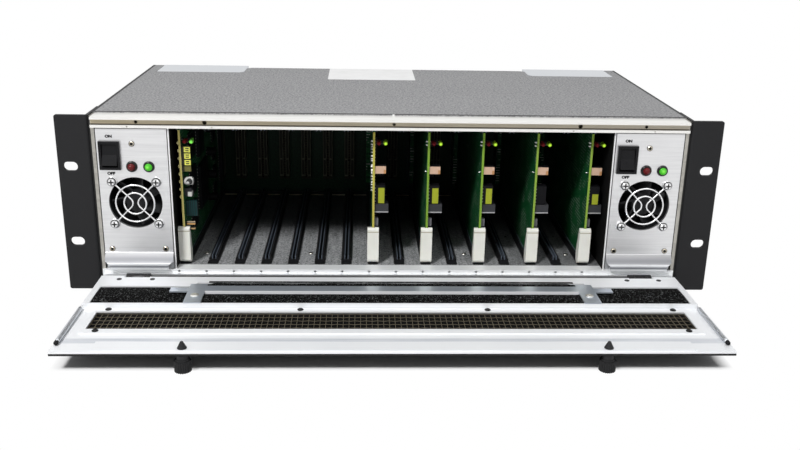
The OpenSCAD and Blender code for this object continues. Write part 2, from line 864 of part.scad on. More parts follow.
module door_tray() in_frame() color([0.93, 0.93, 0.94]) difference() {
    union() {
        translate([-door_w / 2, door_edge_y, tray_z]) cube([door_w, door_back_y - door_edge_y, tray_t]);
        translate([-stiffener_x, door_edge_y + stiffener_inset, sheet_z])
            cube([2 * stiffener_x, stiffener_d, stiffener_t]);
        // the box's walls
        translate([-box_w / 2, box_front_y, sheet_z]) difference() {
            cube([box_w, box_d, box_h]);
            translate([box_wall, box_wall, -over])
                cube([box_w - 2 * box_wall, box_d - 2 * box_wall, box_h + 2 * over]);
        }
        // the box's upper flange, wider over the hinges
        translate([0, 0, rim_z - box_wall]) linear_extrude(height = box_wall) difference() {
            translate([-box_w / 2, box_front_y]) square([box_w, box_d]);
            translate([-flange_mid_x, box_front_y + box_wall]) square([2 * flange_mid_x, box_d - box_wall - flange_mid]);
            translate([-box_w / 2 + flange_side, box_front_y + box_wall])
                square([box_w - 2 * flange_side, box_d - box_wall - flange_back]);
        }
    }
    door_windows(tray_z, tray_t, mesh_lap);
    for (i = [-rib_count : rib_count])
        translate([i * rib_pitch - rib_slot / 2, foam_y0 + flange_side, tray_z - over])
            cube([rib_slot, foam_d - 2 * flange_side, tray_t + 2 * over]);
    hinge_notches(tray_z);
    both_sides() translate([thumb_x, thumb_y, tray_z - over])
        cylinder(r = shank_r + run_fit, h = tray_t + stiffener_t + 2 * over);
}

module foam_filter() in_frame() color([0.05, 0.05, 0.05])
    translate([-foam_w / 2, foam_y0, sheet_z]) cube([foam_w, foam_d, foam_t]);

// a flat bar with a folded edge, and a tee at each end that reaches the box's near wall
module filter_retainer() in_frame() color([0.8, 0.84, 0.9]) {
    translate([0, 0, rim_z]) linear_extrude(height = bar_t) {
        translate([-bar_x, door_back_y - bar_far - bar_d]) square([2 * bar_x, bar_d]);
        both_sides() {
            translate([bar_x, box_front_y]) square([clip_w, box_d - flange_back + clip_lap]);
            translate([bar_x, door_back_y - bar_far - bar_d]) square([clip_reach, clip_arm_d]);
        }
    }
    translate([-bar_x, door_back_y - bar_far - bar_d, rim_z - bar_fold]) cube([2 * bar_x, bar_t / 2, bar_fold + bar_t]);
}

module mesh_frame() in_frame() color([0.9, 0.9, 0.92]) difference() {
    translate([-window_w / 2 - frame_border, window_y - window_d - frame_near, sheet_z])
        cube([window_w + 2 * frame_border, window_d + frame_far + frame_near, frame_t]);
    door_windows(sheet_z, frame_t, 0);
}

// a flat net of crossed wires
module intake_mesh() in_frame() color([0.12, 0.11, 0.1]) {
    w = window_w + 2 * (mesh_lap - mesh_play);
    d = window_d + 2 * (mesh_lap - mesh_play);
    cell_w = (w - mesh_wire) / mesh_cols;
    cell_d = (d - mesh_wire) / mesh_rows;
    translate([-w / 2, window_y - window_d - mesh_lap + mesh_play, tray_z])
        linear_extrude(height = mesh_t) difference() {
            square([w, d]);
            for (i = [0 : mesh_cols - 1]) for (j = [0 : mesh_rows - 1])
                translate([mesh_wire + i * cell_w, mesh_wire + j * cell_d])
                    square([cell_w - mesh_wire, cell_d - mesh_wire]);
        }
}

module arm_places() {
    both_sides() translate([door_w / 2 - arm_inset, arm_y0, sheet_z + arm_r]) children();
}

module door_arms() in_frame() color([0.8, 0.8, 0.82]) arm_places() {
    rod_y(arm_r, arm_len);
    translate([-arm_r, 0, -arm_r]) cube([2 * arm_r, arm_len, arm_r]);
    translate([0, arm_len, 0]) sphere(r = arm_r);
}

module arm_tips() in_frame() color([0.05, 0.05, 0.05]) arm_places()
    translate([0, -tip_len, tip_r - arm_r]) rod_y(tip_r, tip_len);

module door_screws() in_frame() color([0.5, 0.5, 0.52]) {
    for (x = [-frame_screw_x, -frame_screw_mid, frame_screw_mid, frame_screw_x])
        translate([x, window_y + frame_far / 2, sheet_z + frame_t]) top_head(small_head_r, small_head_h);
    both_sides() {
        translate([frame_screw_x, window_y - window_d - frame_near / 2, sheet_z + frame_t])
            top_head(small_head_r, small_head_h);
        translate([bar_x + clip_w / 2, box_front_y + clip_w, rim_z + bar_t]) top_head(head_r, small_head_h);
        for (s = [-1, 1]) translate([hinge_x + s * leaf_screw_x, leaf_screw_y, rim_z])
            cylinder(r = leaf_screw_r, h = leaf_screw_h);
    }
}

// each hinge: two knuckles on a leaf under the box's flange, with the pin
module door_hinges() in_frame() color([0.1, 0.1, 0.1]) both_sides() translate([hinge_x, 0, 0]) {
    for (s = [-1, 1]) {
        translate([s * (knuckle_len / 2 + knuckle_gap + leaf_knuckle_len / 2), hinge_y, hinge_z])
            rod_x(knuckle_r, leaf_knuckle_len);
        translate([s * (knuckle_len / 2 + knuckle_gap + leaf_knuckle_len / 2) - leaf_knuckle_len / 2,
                door_back_y - leaf_d, leaf_z])
            cube([leaf_knuckle_len, leaf_d + door_near, leaf_t]);
    }
    translate([-notch_w / 2, door_back_y - leaf_d - notch_d, leaf_z])
        cube([notch_w, leaf_d, leaf_t]);
    translate([0, hinge_y, hinge_z]) rod_x(pin_r, knuckle_len + 2 * (knuckle_gap + leaf_knuckle_len));
}

module thumbscrew(side) in_frame() color([0.08, 0.08, 0.09])
    translate([side * thumb_x, thumb_y, skin_z - slide_gap - neck_h]) {
        cylinder(r = neck_r, h = neck_h);
        cylinder(r = shank_r, h = neck_h + sheet_z + stiffener_t + 2 * slide_gap - skin_z);
        translate([0, 0, neck_h + sheet_z + stiffener_t + 2 * slide_gap - skin_z])
            cylinder(r1 = cone_r, r2 = cone_tip_r, h = cone_h);
        translate([0, 0, -ring_t]) cylinder(r = knob_d / 2 - 2 * tooth_depth, h = ring_t);
        translate([0, 0, -ring_t - knob_h]) linear_extrude(height = knob_h) difference() {
            circle(r = knob_d / 2);
            for (i = [0 : knob_teeth - 1]) rotate(i * 360 / knob_teeth)
                translate([knob_d / 2, 0]) circle(r = tooth_depth, $fn = 8);
        }
    }

// Power modules, drawn about the middle of their bay

module at_bay(side) {
    translate([side * bay_x, 0, 0]) children();
}

module fan_corners() {
    for (sx = [-1, 1]) for (sz = [-1, 1])
        translate([sx * fan_pitch / 2, 0, fan_z + sz * fan_pitch / 2]) children();
}

// the openings that the front plate and the case behind it share
module front_cuts(y, t) {
    translate([0, y - over, fan_z]) rod_y(fan_hole_d / 2, t + 2 * over);
    translate([switch_dx, y + t / 2, switch_z])
        cube([switch_w - 2 * switch_seat, t + 2 * over, switch_h - 2 * switch_seat], center = true);
    for (dx = lamp_dx) translate([dx, y - over, lamp_z]) rod_y(lamp_d / 2 - lamp_seat, t + 2 * over);
    fan_corners() translate([0, y - over, 0]) rod_y(screw_r, t + 2 * over);
}

// front plate: upright, then a ramp to the front and a pull lip that turns down and back
module psu_faceplate(side) in_frame() color([0.8, 0.8, 0.82]) at_bay(side) difference() {
    intersection() {
        run_x([
            [0, plate_top],
            [plate_t, plate_top],
            [plate_t, crease_z - fold_drop],
            [-lip_out + plate_t, lip_top - fold_drop],
            [-lip_out + plate_t, lip_z + plate_t],
            [-lip_out + plate_t + lip_return, lip_z + plate_t],
            [-lip_out + plate_t + lip_return, lip_z],
            [-lip_out, lip_z],
            [-lip_out, lip_top],
            [0, crease_z]
        ], plate_w);
        // seen from the front the plate narrows to the lip
        translate([0, plate_t + over, 0]) rotate([90, 0, 0])
            linear_extrude(height = lip_out + plate_t + 2 * over) polygon([
                [-plate_w / 2, plate_top],
                [plate_w / 2, plate_top],
                [plate_w / 2, lip_top + plate_t],
                [lip_w / 2, lip_top - plate_t],
                [lip_w / 2, lip_z],
                [-lip_w / 2, lip_z],
                [-lip_w / 2, lip_top - plate_t],
                [-plate_w / 2, lip_top + plate_t]
            ]);
    }
    front_cuts(0, plate_t);
}

module psu_case(side) in_frame() color([0.55, 0.56, 0.58]) at_bay(side) difference() {
    union() {
        translate([-case_w / 2, plate_t, case_z]) difference() {
            cube([case_w, case_d, case_top - case_z]);
            translate([case_wall, case_wall, case_wall])
                cube([case_w - 2 * case_wall, case_d - 2 * case_wall, case_top - case_z - 2 * case_wall]);
        }
        translate([-connector_w / 2, plate_t + case_d, connector_z + connector_bar])
            cube([connector_w, backplane_y - connector_d - plate_t - case_d - connector_gap / 2,
                connector_h - 2 * connector_bar]);
    }
    front_cuts(plate_t, case_wall);
    for (row = [0 : vent_rows - 1]) for (col = [1 : 4])
        translate([-case_w / 2 - over, plate_t + col * case_d / 5 - vent_l / 2, fan_z - vent_l + row * vent_pitch])
            cube([case_w + 2 * over, vent_l, vent_w]);
}

module psu_switch_bezel(side) in_frame() color([0.05, 0.05, 0.06]) at_bay(side)
    translate([switch_dx, 0, switch_z]) difference() {
        union() {
            translate([-switch_w / 2, -switch_rim, -switch_h / 2]) cube([switch_w, switch_rim, switch_h]);
            translate([-switch_w / 2 + switch_seat + seat_play, 0, -switch_h / 2 + switch_seat + seat_play])
                cube([switch_w - 2 * switch_seat - 2 * seat_play, switch_body,
                    switch_h - 2 * switch_seat - 2 * seat_play]);
        }
        translate([-switch_w / 2 + switch_frame, -switch_rim - over, -switch_h / 2 + switch_frame])
            cube([switch_w - 2 * switch_frame, switch_rim + over, switch_h - 2 * switch_frame]);
        translate([-switch_w / 2 + switch_frame, -over, -switch_h / 2 + switch_frame])
            cube([switch_w - 2 * switch_frame, rocker_well + over, switch_h - 2 * switch_frame]);
        translate([0, rocker_pivot_y, 0])
            rod_x(rocker_pin_r + run_fit, rocker_w + 2 * rocker_pin_out + 2 * seat_play);
    }

// two faces that meet in a shallow valley, pressed in at the top, on two short pins
module psu_rocker(side) in_frame() color([0.08, 0.08, 0.09]) at_bay(side)
    translate([switch_dx, rocker_pivot_y, switch_z]) {
        rotate([-rocker_throw / 2, 0, 0]) run_x([
            [-rocker_front, rocker_half_h],
            [-rocker_front + rocker_dip, 0],
            [-rocker_front, -rocker_half_h],
            [-rocker_front + rocker_dip, -rocker_half_h],
            [rocker_back, -rocker_half_h / 2],
            [rocker_back, rocker_half_h / 2],
            [-rocker_front + rocker_dip, rocker_half_h]
        ], rocker_w);
        rod_x(rocker_pin_r, rocker_w + 2 * rocker_pin_out);
    }

module psu_lamps(side) in_frame() color([0.1, 0.1, 0.1]) at_bay(side) for (dx = lamp_dx)
    translate([dx, 0, lamp_z]) {
        translate([0, -lamp_rim, 0]) rotate([-90, 0, 0])
            cylinder(r1 = lamp_d / 2 - lamp_seat, r2 = lamp_d / 2, h = lamp_rim);
        rod_y(lamp_d / 2 - lamp_seat - run_fit, lamp_body);
        translate([0, -lamp_rim, 0]) sphere(r = lens_r);
    }

module psu_fan_housing(side) in_frame() color([0.08, 0.08, 0.08]) at_bay(side)
    translate([0, fan_y, 0]) difference() {
        union() {
            difference() {
                translate([-fan_w / 2, 0, fan_z - fan_w / 2]) cube([fan_w, fan_d, fan_w]);
                translate([0, -over, fan_z]) rod_y(fan_hole_d / 2, fan_d + 2 * over);
            }
            // the stator's disc and its three struts, at the rear
            translate([0, fan_d - stator_t, fan_z]) {
                rod_y(hub_r, stator_t);
                for (a = [0 : 2]) rotate([0, 90 + a * 120, 0])
                    translate([hub_r / 2, stator_t / 4, -strut_w / 2])
                        cube([fan_hole_d / 4 + fan_w / 4 - hub_r / 2, stator_t / 2, strut_w]);
            }
        }
        translate([0, -over, fan_z]) rod_y(axle_r + run_fit, fan_d + 2 * over);
        fan_corners() translate([0, -over, 0]) rod_y(screw_r, fan_d + 2 * over);
    }

module psu_fan_rotor(side) in_frame() color([0.06, 0.06, 0.06]) at_bay(side)
    translate([0, fan_y + rotor_in, fan_z]) {
        rod_y(hub_r, hub_depth);
        rod_y(axle_r, fan_d - rotor_in);
        intersection() {
            rod_y(blade_r, hub_depth);
            for (i = [0 : blades - 1]) rotate([0, i * 360 / blades, 0])
                translate([0, hub_depth / 2, 0]) rotate([0, 0, blade_turn])
                    translate([-blade_t / 2, -hub_depth, hub_r / 2]) cube([blade_t, 2 * hub_depth, blade_r]);
        }
    }

// one bowed spoke on the left: an arc near the middle, and straight to two of the screws at 45 degrees
module guard_spoke() {
    bow_r = wire_gap / (sqrt(2) - 1);
    bow_x = -wire_gap - bow_r;
    start = bow_x + bow_r / sqrt(2);
    run = (start + fan_pitch / 2) * sqrt(2) - loop_r;
    translate([bow_x, 0, 0]) intersection() {
        guard_ring(bow_r);
        rotate([0, 45, 0]) translate([0, -wire_d, 0]) cube([2 * bow_r, 2 * wire_d, 2 * bow_r]);
    }
    for (s = [-1, 1]) translate([start, 0, s * bow_r / sqrt(2)])
        rotate([0, s * 45 - 90, 0]) translate([0, 0, -wire_d / 4])
            cylinder(r = straight_share * wire_d / 2, h = run + wire_d / 4);
}

module guard_ring(r) {
    rotate([90, 0, 0]) rotate_extrude() translate([r, 0]) circle(r = wire_d / 2);
}

module psu_finger_guard(side) in_frame() color([0.85, 0.86, 0.88]) at_bay(side) {
    translate([0, -wire_d / 2, 0]) {
        translate([0, 0, fan_z]) {
            both_sides() guard_spoke();
            translate([0, -ring_lift, 0]) guard_ring(ring_r);
            translate([0, -ring_lift, 0]) guard_ring(inner_ring_r);
        }
        fan_corners() guard_ring(loop_r);
    }
    fan_corners() translate([0, -wire_d, 0]) {
        front_head(head_r, head_h);
        rod_y(screw_shank_r, wire_d + screw_in);
    }
    translate([0, 0, top_screw_z]) front_head(small_head_r, small_head_h);
    for (s = [-1, 1]) translate([s * low_screw_dx, 0, low_screw_z]) front_head(small_head_r, small_head_h);
}

// Cards, drawn about the middle of their board

module card_board(slot, controller) in_frame() color([0.05, 0.35, 0.15])
    translate([board_x(slot), 0, 0]) difference() {
        union() {
            board_blank();
            card_connector();
            if (controller) controller_parts();
            else card_parts();
        }
        translate([0, pivot_y, pivot_z]) rod_x(pivot_r + run_fit, board_t + 2 * over);
    }

// the board's outline: a cut corner at the top, and a round ear for the ejector at the foot
module board_blank() {
    ear_r = foot_r - web_t - slide_gap;
    notch_end = pivot_y + foot_r - web_t / 2;
    translate([-board_t / 2, 0, 0]) rotate([90, 0, 90]) linear_extrude(height = board_t) {
        polygon([
            [board_y, pivot_z],
            [board_y, board_top - corner_cut],
            [board_y + corner_cut, board_top],
            [board_y + board_d, board_top],
            [board_y + board_d, board_z],
            [notch_end, board_z],
            [notch_end, pivot_z]
        ]);
        translate([pivot_y, pivot_z]) circle(r = ear_r);
    }
}

module card_connector() {
    translate([-connector_w / 2, board_y + board_d - connector_d, connector_z])
        cube([connector_w, connector_d + connector_gap / 2, connector_h]);
}

// blocks soldered on the right of the board, each given as height off the board, y, z, depth and height
module part_blocks(table) {
    for (b = table) translate([board_t / 2, board_y + b[1], b[2]]) cube([b[0], b[3], b[4]]);
}

// round parts standing on the board, each given as height off the board, y, z and radius
module part_cans(table) {
    for (c = table) translate([board_t / 2, board_y + c[1], c[2]])
        rotate([0, 90, 0]) cylinder(r = c[3], h = c[0]);
}

// the two status lamps at the front edge, on the bracket that holds them
module status_lamps() {
    for (x = [led_red_x, led_green_x]) translate([x, board_y, led_z]) {
        rod_y(led_r, led_len);
        sphere(r = led_r);
    }
    translate([board_t / 2, board_y + led_len, led_z - led_r]) cube([led_green_x, led_leg, 2 * led_r]);
}

module card_parts() {
    status_lamps();
    part_blocks(card_blocks);
    part_cans(card_cans);
}

module controller_parts() {
    status_lamps();
    part_blocks(controller_blocks);
    part_cans(controller_cans);
}

// side outline of an ejector about its pivot: a round foot and a lever that tapers upwards
module ejector_side() {
    lever_top = ejector_h - foot_r;
    circle(r = foot_r);
    polygon([
        [-foot_r, 0],
        [-foot_r, lever_top - corner_cut / 2],
        [-foot_r + corner_cut / 2, lever_top],
        [-foot_r + ejector_t / 2, lever_top],
        [foot_r, ejector_t],
        [foot_r, 0]
    ]);
}

// what the board needs inside the ejector, at every angle of the lever
module ejector_room() {
    circle(r = foot_r - web_t);
    translate([-foot_r + web_t + slide_gap, 0]) square([2 * foot_r, ejector_h]);
    translate([-foot_r / 3, -foot_r - over]) square([2 * foot_r, foot_r + over]);
}

module ejector(slot) in_frame() color([0.93, 0.92, 0.87])
    translate([board_x(slot), pivot_y, pivot_z]) {
        difference() {
            translate([-ejector_w / 2, 0, 0]) rotate([90, 0, 90])
                linear_extrude(height = ejector_w) ejector_side();
            translate([-ejector_slot / 2, 0, 0]) rotate([90, 0, 90])
                linear_extrude(height = ejector_slot) ejector_room();
        }
        rod_x(pivot_r, ejector_w);
    }

side_panel(-1);  // side_panel_left
side_panel(1);  // side_panel_right
rack_ear(-1);  // rack_ear_left
rack_ear(1);  // rack_ear_right
top_cover();
base_pan();
top_rail();
bottom_rail();
hinge_strip();
rear_rails();
card_guides();
cage_floor();
partitions();
backplane();
slot_connectors();
rear_panel();
coax_jacks();
mains_inlets();
feet();
chassis_screws();
door_skin();
door_tray();
foam_filter();
filter_retainer();
mesh_frame();
intake_mesh();
door_arms();
arm_tips();
door_screws();
door_hinges();
thumbscrew(-1);  // thumbscrew_left
thumbscrew(1);  // thumbscrew_right
psu_faceplate(-1);  // psu_left_faceplate
psu_case(-1);  // psu_left_case
psu_switch_bezel(-1);  // psu_left_switch_bezel
psu_rocker(-1);  // psu_left_rocker
psu_lamps(-1);  // psu_left_lamps
psu_fan_housing(-1);  // psu_left_fan_housing
psu_fan_rotor(-1);  // psu_left_fan_rotor
psu_finger_guard(-1);  // psu_left_finger_guard
psu_faceplate(1);  // psu_right_faceplate
psu_case(1);  // psu_right_case
psu_switch_bezel(1);  // psu_right_switch_bezel
psu_rocker(1);  // psu_right_rocker
psu_lamps(1);  // psu_right_lamps
psu_fan_housing(1);  // psu_right_fan_housing
psu_fan_rotor(1);  // psu_right_fan_rotor
psu_finger_guard(1);  // psu_right_finger_guard
card_board(card_slot(0), true);  // controller_board
card_board(card_slot(1), false);  // card_1_board
card_board(card_slot(2), false);  // card_2_board
card_board(card_slot(3), false);  // card_3_board
card_board(card_slot(4), false);  // card_4_board
card_board(card_slot(5), false);  // card_5_board
ejector(card_slot(0));  // controller_ejector
ejector(card_slot(1));  // card_1_ejector
ejector(card_slot(2));  // card_2_ejector
ejector(card_slot(3));  // card_3_ejector
ejector(card_slot(4));  // card_4_ejector
ejector(card_slot(5));  // card_5_ejector
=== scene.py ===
# %% [markdown]
# # A modular card frame
#
# The object is a rack frame for plug-in cards, three units high: two power modules at its ends, a cage
# with sixteen card places between them, and a front door that has dropped open and carries an air
# filter. The solids come from the part's own source and are loaded as a fixed frame. This script gives
# them their finishes, adds the fine pieces that sheet and block solids can't show, and sets up floor,
# light and camera.

# %% Load the frame
import math

import bpy
import numpy as np
from mathutils import Matrix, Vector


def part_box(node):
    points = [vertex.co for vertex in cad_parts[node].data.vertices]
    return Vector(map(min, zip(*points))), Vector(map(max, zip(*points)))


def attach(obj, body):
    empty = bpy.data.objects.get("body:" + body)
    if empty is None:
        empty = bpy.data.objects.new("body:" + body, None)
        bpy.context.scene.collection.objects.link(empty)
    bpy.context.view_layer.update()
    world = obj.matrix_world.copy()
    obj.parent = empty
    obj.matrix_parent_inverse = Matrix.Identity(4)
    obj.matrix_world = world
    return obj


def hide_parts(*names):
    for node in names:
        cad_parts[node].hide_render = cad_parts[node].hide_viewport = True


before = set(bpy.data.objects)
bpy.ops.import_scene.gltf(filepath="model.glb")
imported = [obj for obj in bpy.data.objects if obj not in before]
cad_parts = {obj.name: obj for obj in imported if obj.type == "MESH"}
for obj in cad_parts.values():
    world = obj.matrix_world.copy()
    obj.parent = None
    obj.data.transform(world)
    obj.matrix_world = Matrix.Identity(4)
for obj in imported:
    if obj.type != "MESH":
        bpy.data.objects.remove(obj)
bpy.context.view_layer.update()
MM = 0.001

# %% [markdown]
# A finish that paints a mark needs the mark's place. Here are the places that several finishes and
# pieces share, in mm: the first card's board and the step from card to card, the middle of each power
# module and the height of its lamps, the hinges, the body's width, and half the length of the bar over
# the foam. Heights are counted from the ears' lower edge, half a rack height under the frame's origin.

# %% Shared places
HALF_RACK = 66.25
FIRST_BOARD, SLOT_PITCH = -156.4, 20.32
BAY_X, LAMP_Z = 187.96, 95.0
HINGE_X, BODY_W, BAR_HALF = 188.0, 435, 134.0
SIDES = (("left", -1), ("right", 1))
print("card places from", FIRST_BOARD, "to", FIRST_BOARD + 15 * SLOT_PITCH, "mm")

# %% [markdown]
# ## The camera
#
# The photograph was taken from a little left of the middle, about 66 cm in front of the ears and
# looking down by 19 degrees. A camera can be aimed by eye, but here it was fitted: the rack slots and
# the card pitch have sizes that every such frame shares, so their places in the picture give the
# viewpoint. The three angles are turned into the camera's own right, up and backward directions, which
# are the columns of its rotation.

# %% Place the camera
YAW, PITCH, ROLL = (math.radians(a) for a in (2.63, 18.61, 1.15))
CAMERA_AT = (-0.0245, -0.656, 0.20655)
PICTURE_W = 800
FOCAL_PX = 929.2


def camera_axes(yaw, pitch, roll):
    """Right, up and backward directions: the level pair is turned by the roll about the line of sight."""
    flat = math.cos(pitch)
    ahead = np.array([math.sin(yaw) * flat, math.cos(yaw) * flat, -math.sin(pitch)])
    level = np.array([math.cos(yaw), -math.sin(yaw), 0.0])
    upright = np.cross(level, ahead)
    right = math.cos(roll) * level + math.sin(roll) * upright
    up = -math.sin(roll) * level + math.cos(roll) * upright
    return right, up, -ahead


def turned(right, up, back):
    """The rotation that has these three directions as its columns."""
    return Matrix(np.stack([right, up, back], -1).tolist()).to_4x4()


lens = bpy.data.cameras.new("camera")
lens.sensor_width = 36
lens.lens = FOCAL_PX / PICTURE_W * lens.sensor_width
lens.clip_start = 0.01
camera = bpy.data.objects.new("camera", lens)
camera.matrix_world = Matrix.Translation(CAMERA_AT) @ turned(*camera_axes(YAW, PITCH, ROLL))
bpy.context.scene.collection.objects.link(camera)
bpy.context.scene.camera = camera
print("lens", round(lens.lens, 1), "mm")

# %% [markdown]
# ## Writing a finish as a formula
#
# A finish is a net of shader nodes. Wired by hand, even a simple one is hard to read, so one small
# class holds a wire and gives it the usual signs: a sum or a product of two wires adds the Math node
# that works it out. A mask such as "between these two heights" then reads as it would on paper. A
# second class adds any other kind of node to a net, and a third makes the material round it.

# %% A wire with the signs of arithmetic
class Wire:
    """A number, colour or direction on its way through a net. Each sign on it adds one Math node."""

    def __init__(self, net, socket):
        self.net = net
        self.socket = socket

    def __add__(self, other):
        return self.net.maths("ADD", self, other)

    def __sub__(self, other):
        return self.net.maths("SUBTRACT", self, other)

    def __rsub__(self, other):
        return self.net.maths("SUBTRACT", other, self)

    def __mul__(self, other):
        return self.net.maths("MULTIPLY", self, other)

    def __abs__(self):
        return self.net.maths("ABSOLUTE", self)

    def __mod__(self, other):
        return self.net.maths("FLOORED_MODULO", self, other)

    def __or__(self, other):
        return self.net.maths("MAXIMUM", self, other)

    def within(self):
        """Cut off below 0 and above 1."""
        return self.net.add("ShaderNodeClamp", {}, {0: self, 1: 0.0, 2: 1.0})


# %% A net of nodes
class Net:
    """Nodes of one material or world. add() makes a node, sets its settings, then fills its sockets."""

    def __init__(self, tree):
        self.tree = tree
        tree.nodes.clear()

    def put(self, socket, value):
        if isinstance(value, Wire):
            self.tree.links.new(value.socket, socket)
        elif hasattr(socket.default_value, "__len__") and len(socket.default_value) == 4:
            socket.default_value = (*value[:3], 1.0)
        else:
            socket.default_value = value

    def add(self, kind, settings, values, out=0):
        node = self.tree.nodes.new(kind)
        for key, value in settings.items():
            setattr(node, key, value)
        for key, value in values.items():
            self.put(node.inputs[key], value)
        return Wire(self, node.outputs[out])

    def maths(self, operation, *values):
        return self.add("ShaderNodeMath", {"operation": operation}, dict(enumerate(values)))

    def rays(self, *kinds):
        """1 for the rays of these kinds and 0 for all others."""
        path = self.tree.nodes.new("ShaderNodeLightPath")
        share, *others = (Wire(self, path.outputs[f"Is {kind} Ray"]) for kind in kinds)
        for other in others:
            share = share | other
        return share


# %% A finish
class Finish(Net):
    """One material: places, patterns and blends that lead to the sockets of one shader."""

    def __init__(self, name):
        self.material = bpy.data.materials.new(name)
        self.material.use_nodes = True
        super().__init__(self.material.node_tree)
        self.output = self.tree.nodes.new("ShaderNodeOutputMaterial")
        self.shader = self.tree.nodes.new("ShaderNodeBsdfPrincipled")
        self.tree.links.new(self.shader.outputs[0], self.output.inputs[0])

    def blend(self, share, first, second):
        """Colour that goes from first to second as share goes from 0 to 1."""
        return self.add("ShaderNodeMix", {"data_type": "RGBA"}, {0: share, 6: first, 7: second}, out=2)

    def point(self, stretch=(1, 1, 1)):
        """The place on the piece in mm, up from the ears' lower edge, with each axis stretched."""
        where = self.add("ShaderNodeTexCoord", {}, {}, out=3)
        scale = tuple(s / MM for s in stretch)
        lift = (0, 0, HALF_RACK * stretch[2])
        return self.add("ShaderNodeMapping", {}, {0: where, "Location": lift, "Scale": scale})

    def axes(self):
        split = self.add("ShaderNodeSeparateXYZ", {}, {0: self.point()})
        return tuple(Wire(self, output) for output in split.socket.node.outputs)

    def noise(self, scale, stretch=(1, 1, 1), detail=2.0, rough=0.5):
        """Soft noise from 0 to 1 with scale humps in a mm, before the stretch."""
        values = {"Vector": self.point(stretch), "Scale": scale, "Detail": detail, "Roughness": rough}
        return self.add("ShaderNodeTexNoise", {}, values)

    def cells(self, scale, stretch=(1, 1, 1), feature="F1", out=0):
        """Distance to the nearest of many scattered points, or with out=1 a colour of each cell's own."""
        values = {"Vector": self.point(stretch), "Scale": scale}
        return self.add("ShaderNodeTexVoronoi", {"feature": feature}, values, out)

    def bump(self, height, depth_mm):
        """Normal of a surface raised by height times a depth."""
        values = {"Height": height, "Distance": depth_mm * MM, "Strength": 1.0}
        return self.add("ShaderNodeBump", {}, values)

    def done(self, colour, rough, normal=None, **others):
        """Feeds the shader. The other sockets go by Blender's names, with _ for each space."""
        values = {"Base Color": colour, "Roughness": rough, **others}
        if normal is not None:
            values["Normal"] = normal
        for key, value in values.items():
            self.put(self.shader.inputs[key.replace("_", " ")], value)
        print("finish:", self.material.name, len(self.tree.nodes), "nodes")
        return self.material


# %% Masks
def inside(v, low, high, soft=0.1):
    """1 where low < v < high and 0 outside, with an edge that is soft mm wide."""
    middle, half = (low + high) / 2, (high - low) / 2
    return (abs(v - middle) * (-1 / soft) + (half / soft + 0.5)).within()


def above(v, level, soft=0.1):
    """0 below the level and 1 above it."""
    return ((v - level) * (1 / soft) + 0.5).within()


def dot(a, b, at_a, at_b, radius, soft=0.1):
    """1 inside a circle, from the distance of (a, b) to its centre."""
    across, up = a - at_a, b - at_b
    away = a.net.maths("SQRT", across * across + up * up)
    return ((radius - away) * (1 / soft) + 0.5).within()


def rows(v, start, pitch, width, soft=0.1):
    """1 in stripes of one width, repeated at a pitch from the start."""
    middle = pitch / 2
    return inside((v - (start - middle)) % pitch, middle - width / 2, middle + width / 2, soft)


def slot_place(x):
    """How far x is along its card place, from 0 to the pitch. The board stands in its middle."""
    return (x - FIRST_BOARD + SLOT_PITCH / 2) % SLOT_PITCH


# %% [markdown]
# ## Sheet metal finishes
#
# Most of the frame is sheet: zinc-plated sides, black ears, a grey textured cover, bright aluminium
# rails and door tray, and brushed fronts on the power modules. A flat grey would look like card. Real
# sheet has a grain, so each finish gets a fine bump, stretched along the direction in which it was
# rolled or brushed, and a slow change of roughness that breaks up its reflections.

# %% Plated and painted sheet
def zinc_sheet(name, tint, rough=0.42):
    """Zinc has faint flakes: cells a few mm across shift the roughness and the tone."""
    f = Finish(name)
    flake = f.cells(0.35, out=1)
    tone = f.add("ShaderNodeSeparateColor", {}, {0: flake})
    cloud = f.noise(0.05)
    dark = tuple(c * 0.82 for c in tint)
    return f.done(f.blend((tone * 0.6 + cloud * 0.5).within(), tint, dark), tone * 0.12 + rough,
                  f.bump(f.noise(1.2), 0.02), Metallic=0.9)


def powder_coat(name, colour, rough, grain_mm, depth, shine=0.14):
    """Powder coat is a skin of small rounded bumps, with a little wear of tone."""
    f = Finish(name)
    grain = f.noise(1 / grain_mm, detail=3.0)
    cloud = f.noise(0.03)
    light = tuple(c * 1.35 for c in colour)
    return f.done(f.blend((grain * 0.6 + cloud * 0.4).within(), colour, light), cloud * 0.15 + rough,
                  f.bump(grain, depth), Specular_IOR_Level=shine)


def rolled_aluminium(name, colour, along, rough=0.3, metal=0.85):
    """Bright rolled sheet: fine lines along one axis and wide soft bands across it."""
    f = Finish(name)
    stretch = [2.5, 2.5, 2.5]
    stretch[along] = 0.03
    lines = f.noise(1.0, tuple(stretch), detail=3.0)
    smear = f.noise(0.02)
    shade = tuple(c * w for c, w in zip(colour, (0.86, 0.89, 0.93)))
    return f.done(f.blend((lines * 0.5 + smear * 0.5).within(), shade, colour),
                  lines * 0.12 + smear * 0.1 + rough, f.bump(lines, 0.012), Metallic=metal)


inner_finish = zinc_sheet("zinc inner sheet", (0.66, 0.66, 0.66))
ear_finish = powder_coat("black ear paint", (0.016, 0.016, 0.017), 0.42, 0.5, 0.03)
pan_finish = powder_coat("black pan paint", (0.02, 0.02, 0.02), 0.5, 0.5, 0.02)
low_rail_finish = rolled_aluminium("lower rail aluminium", (0.93, 0.93, 0.92), 0, 0.36, 0.2)
rear_finish = rolled_aluminium("rear panel aluminium", (0.64, 0.65, 0.66), 0, 0.38)
case_finish = zinc_sheet("power case sheet", (0.58, 0.59, 0.61))

# %% [markdown]
# Some of the metal parts need marks at places of their own. The side panels' narrow front strips are
# dull and have a dark line along each side. The top rail has a groove whose bottom is tan, with a dark
# line under it. Masks from the bare coordinates draw these, so the marks need no geometry.

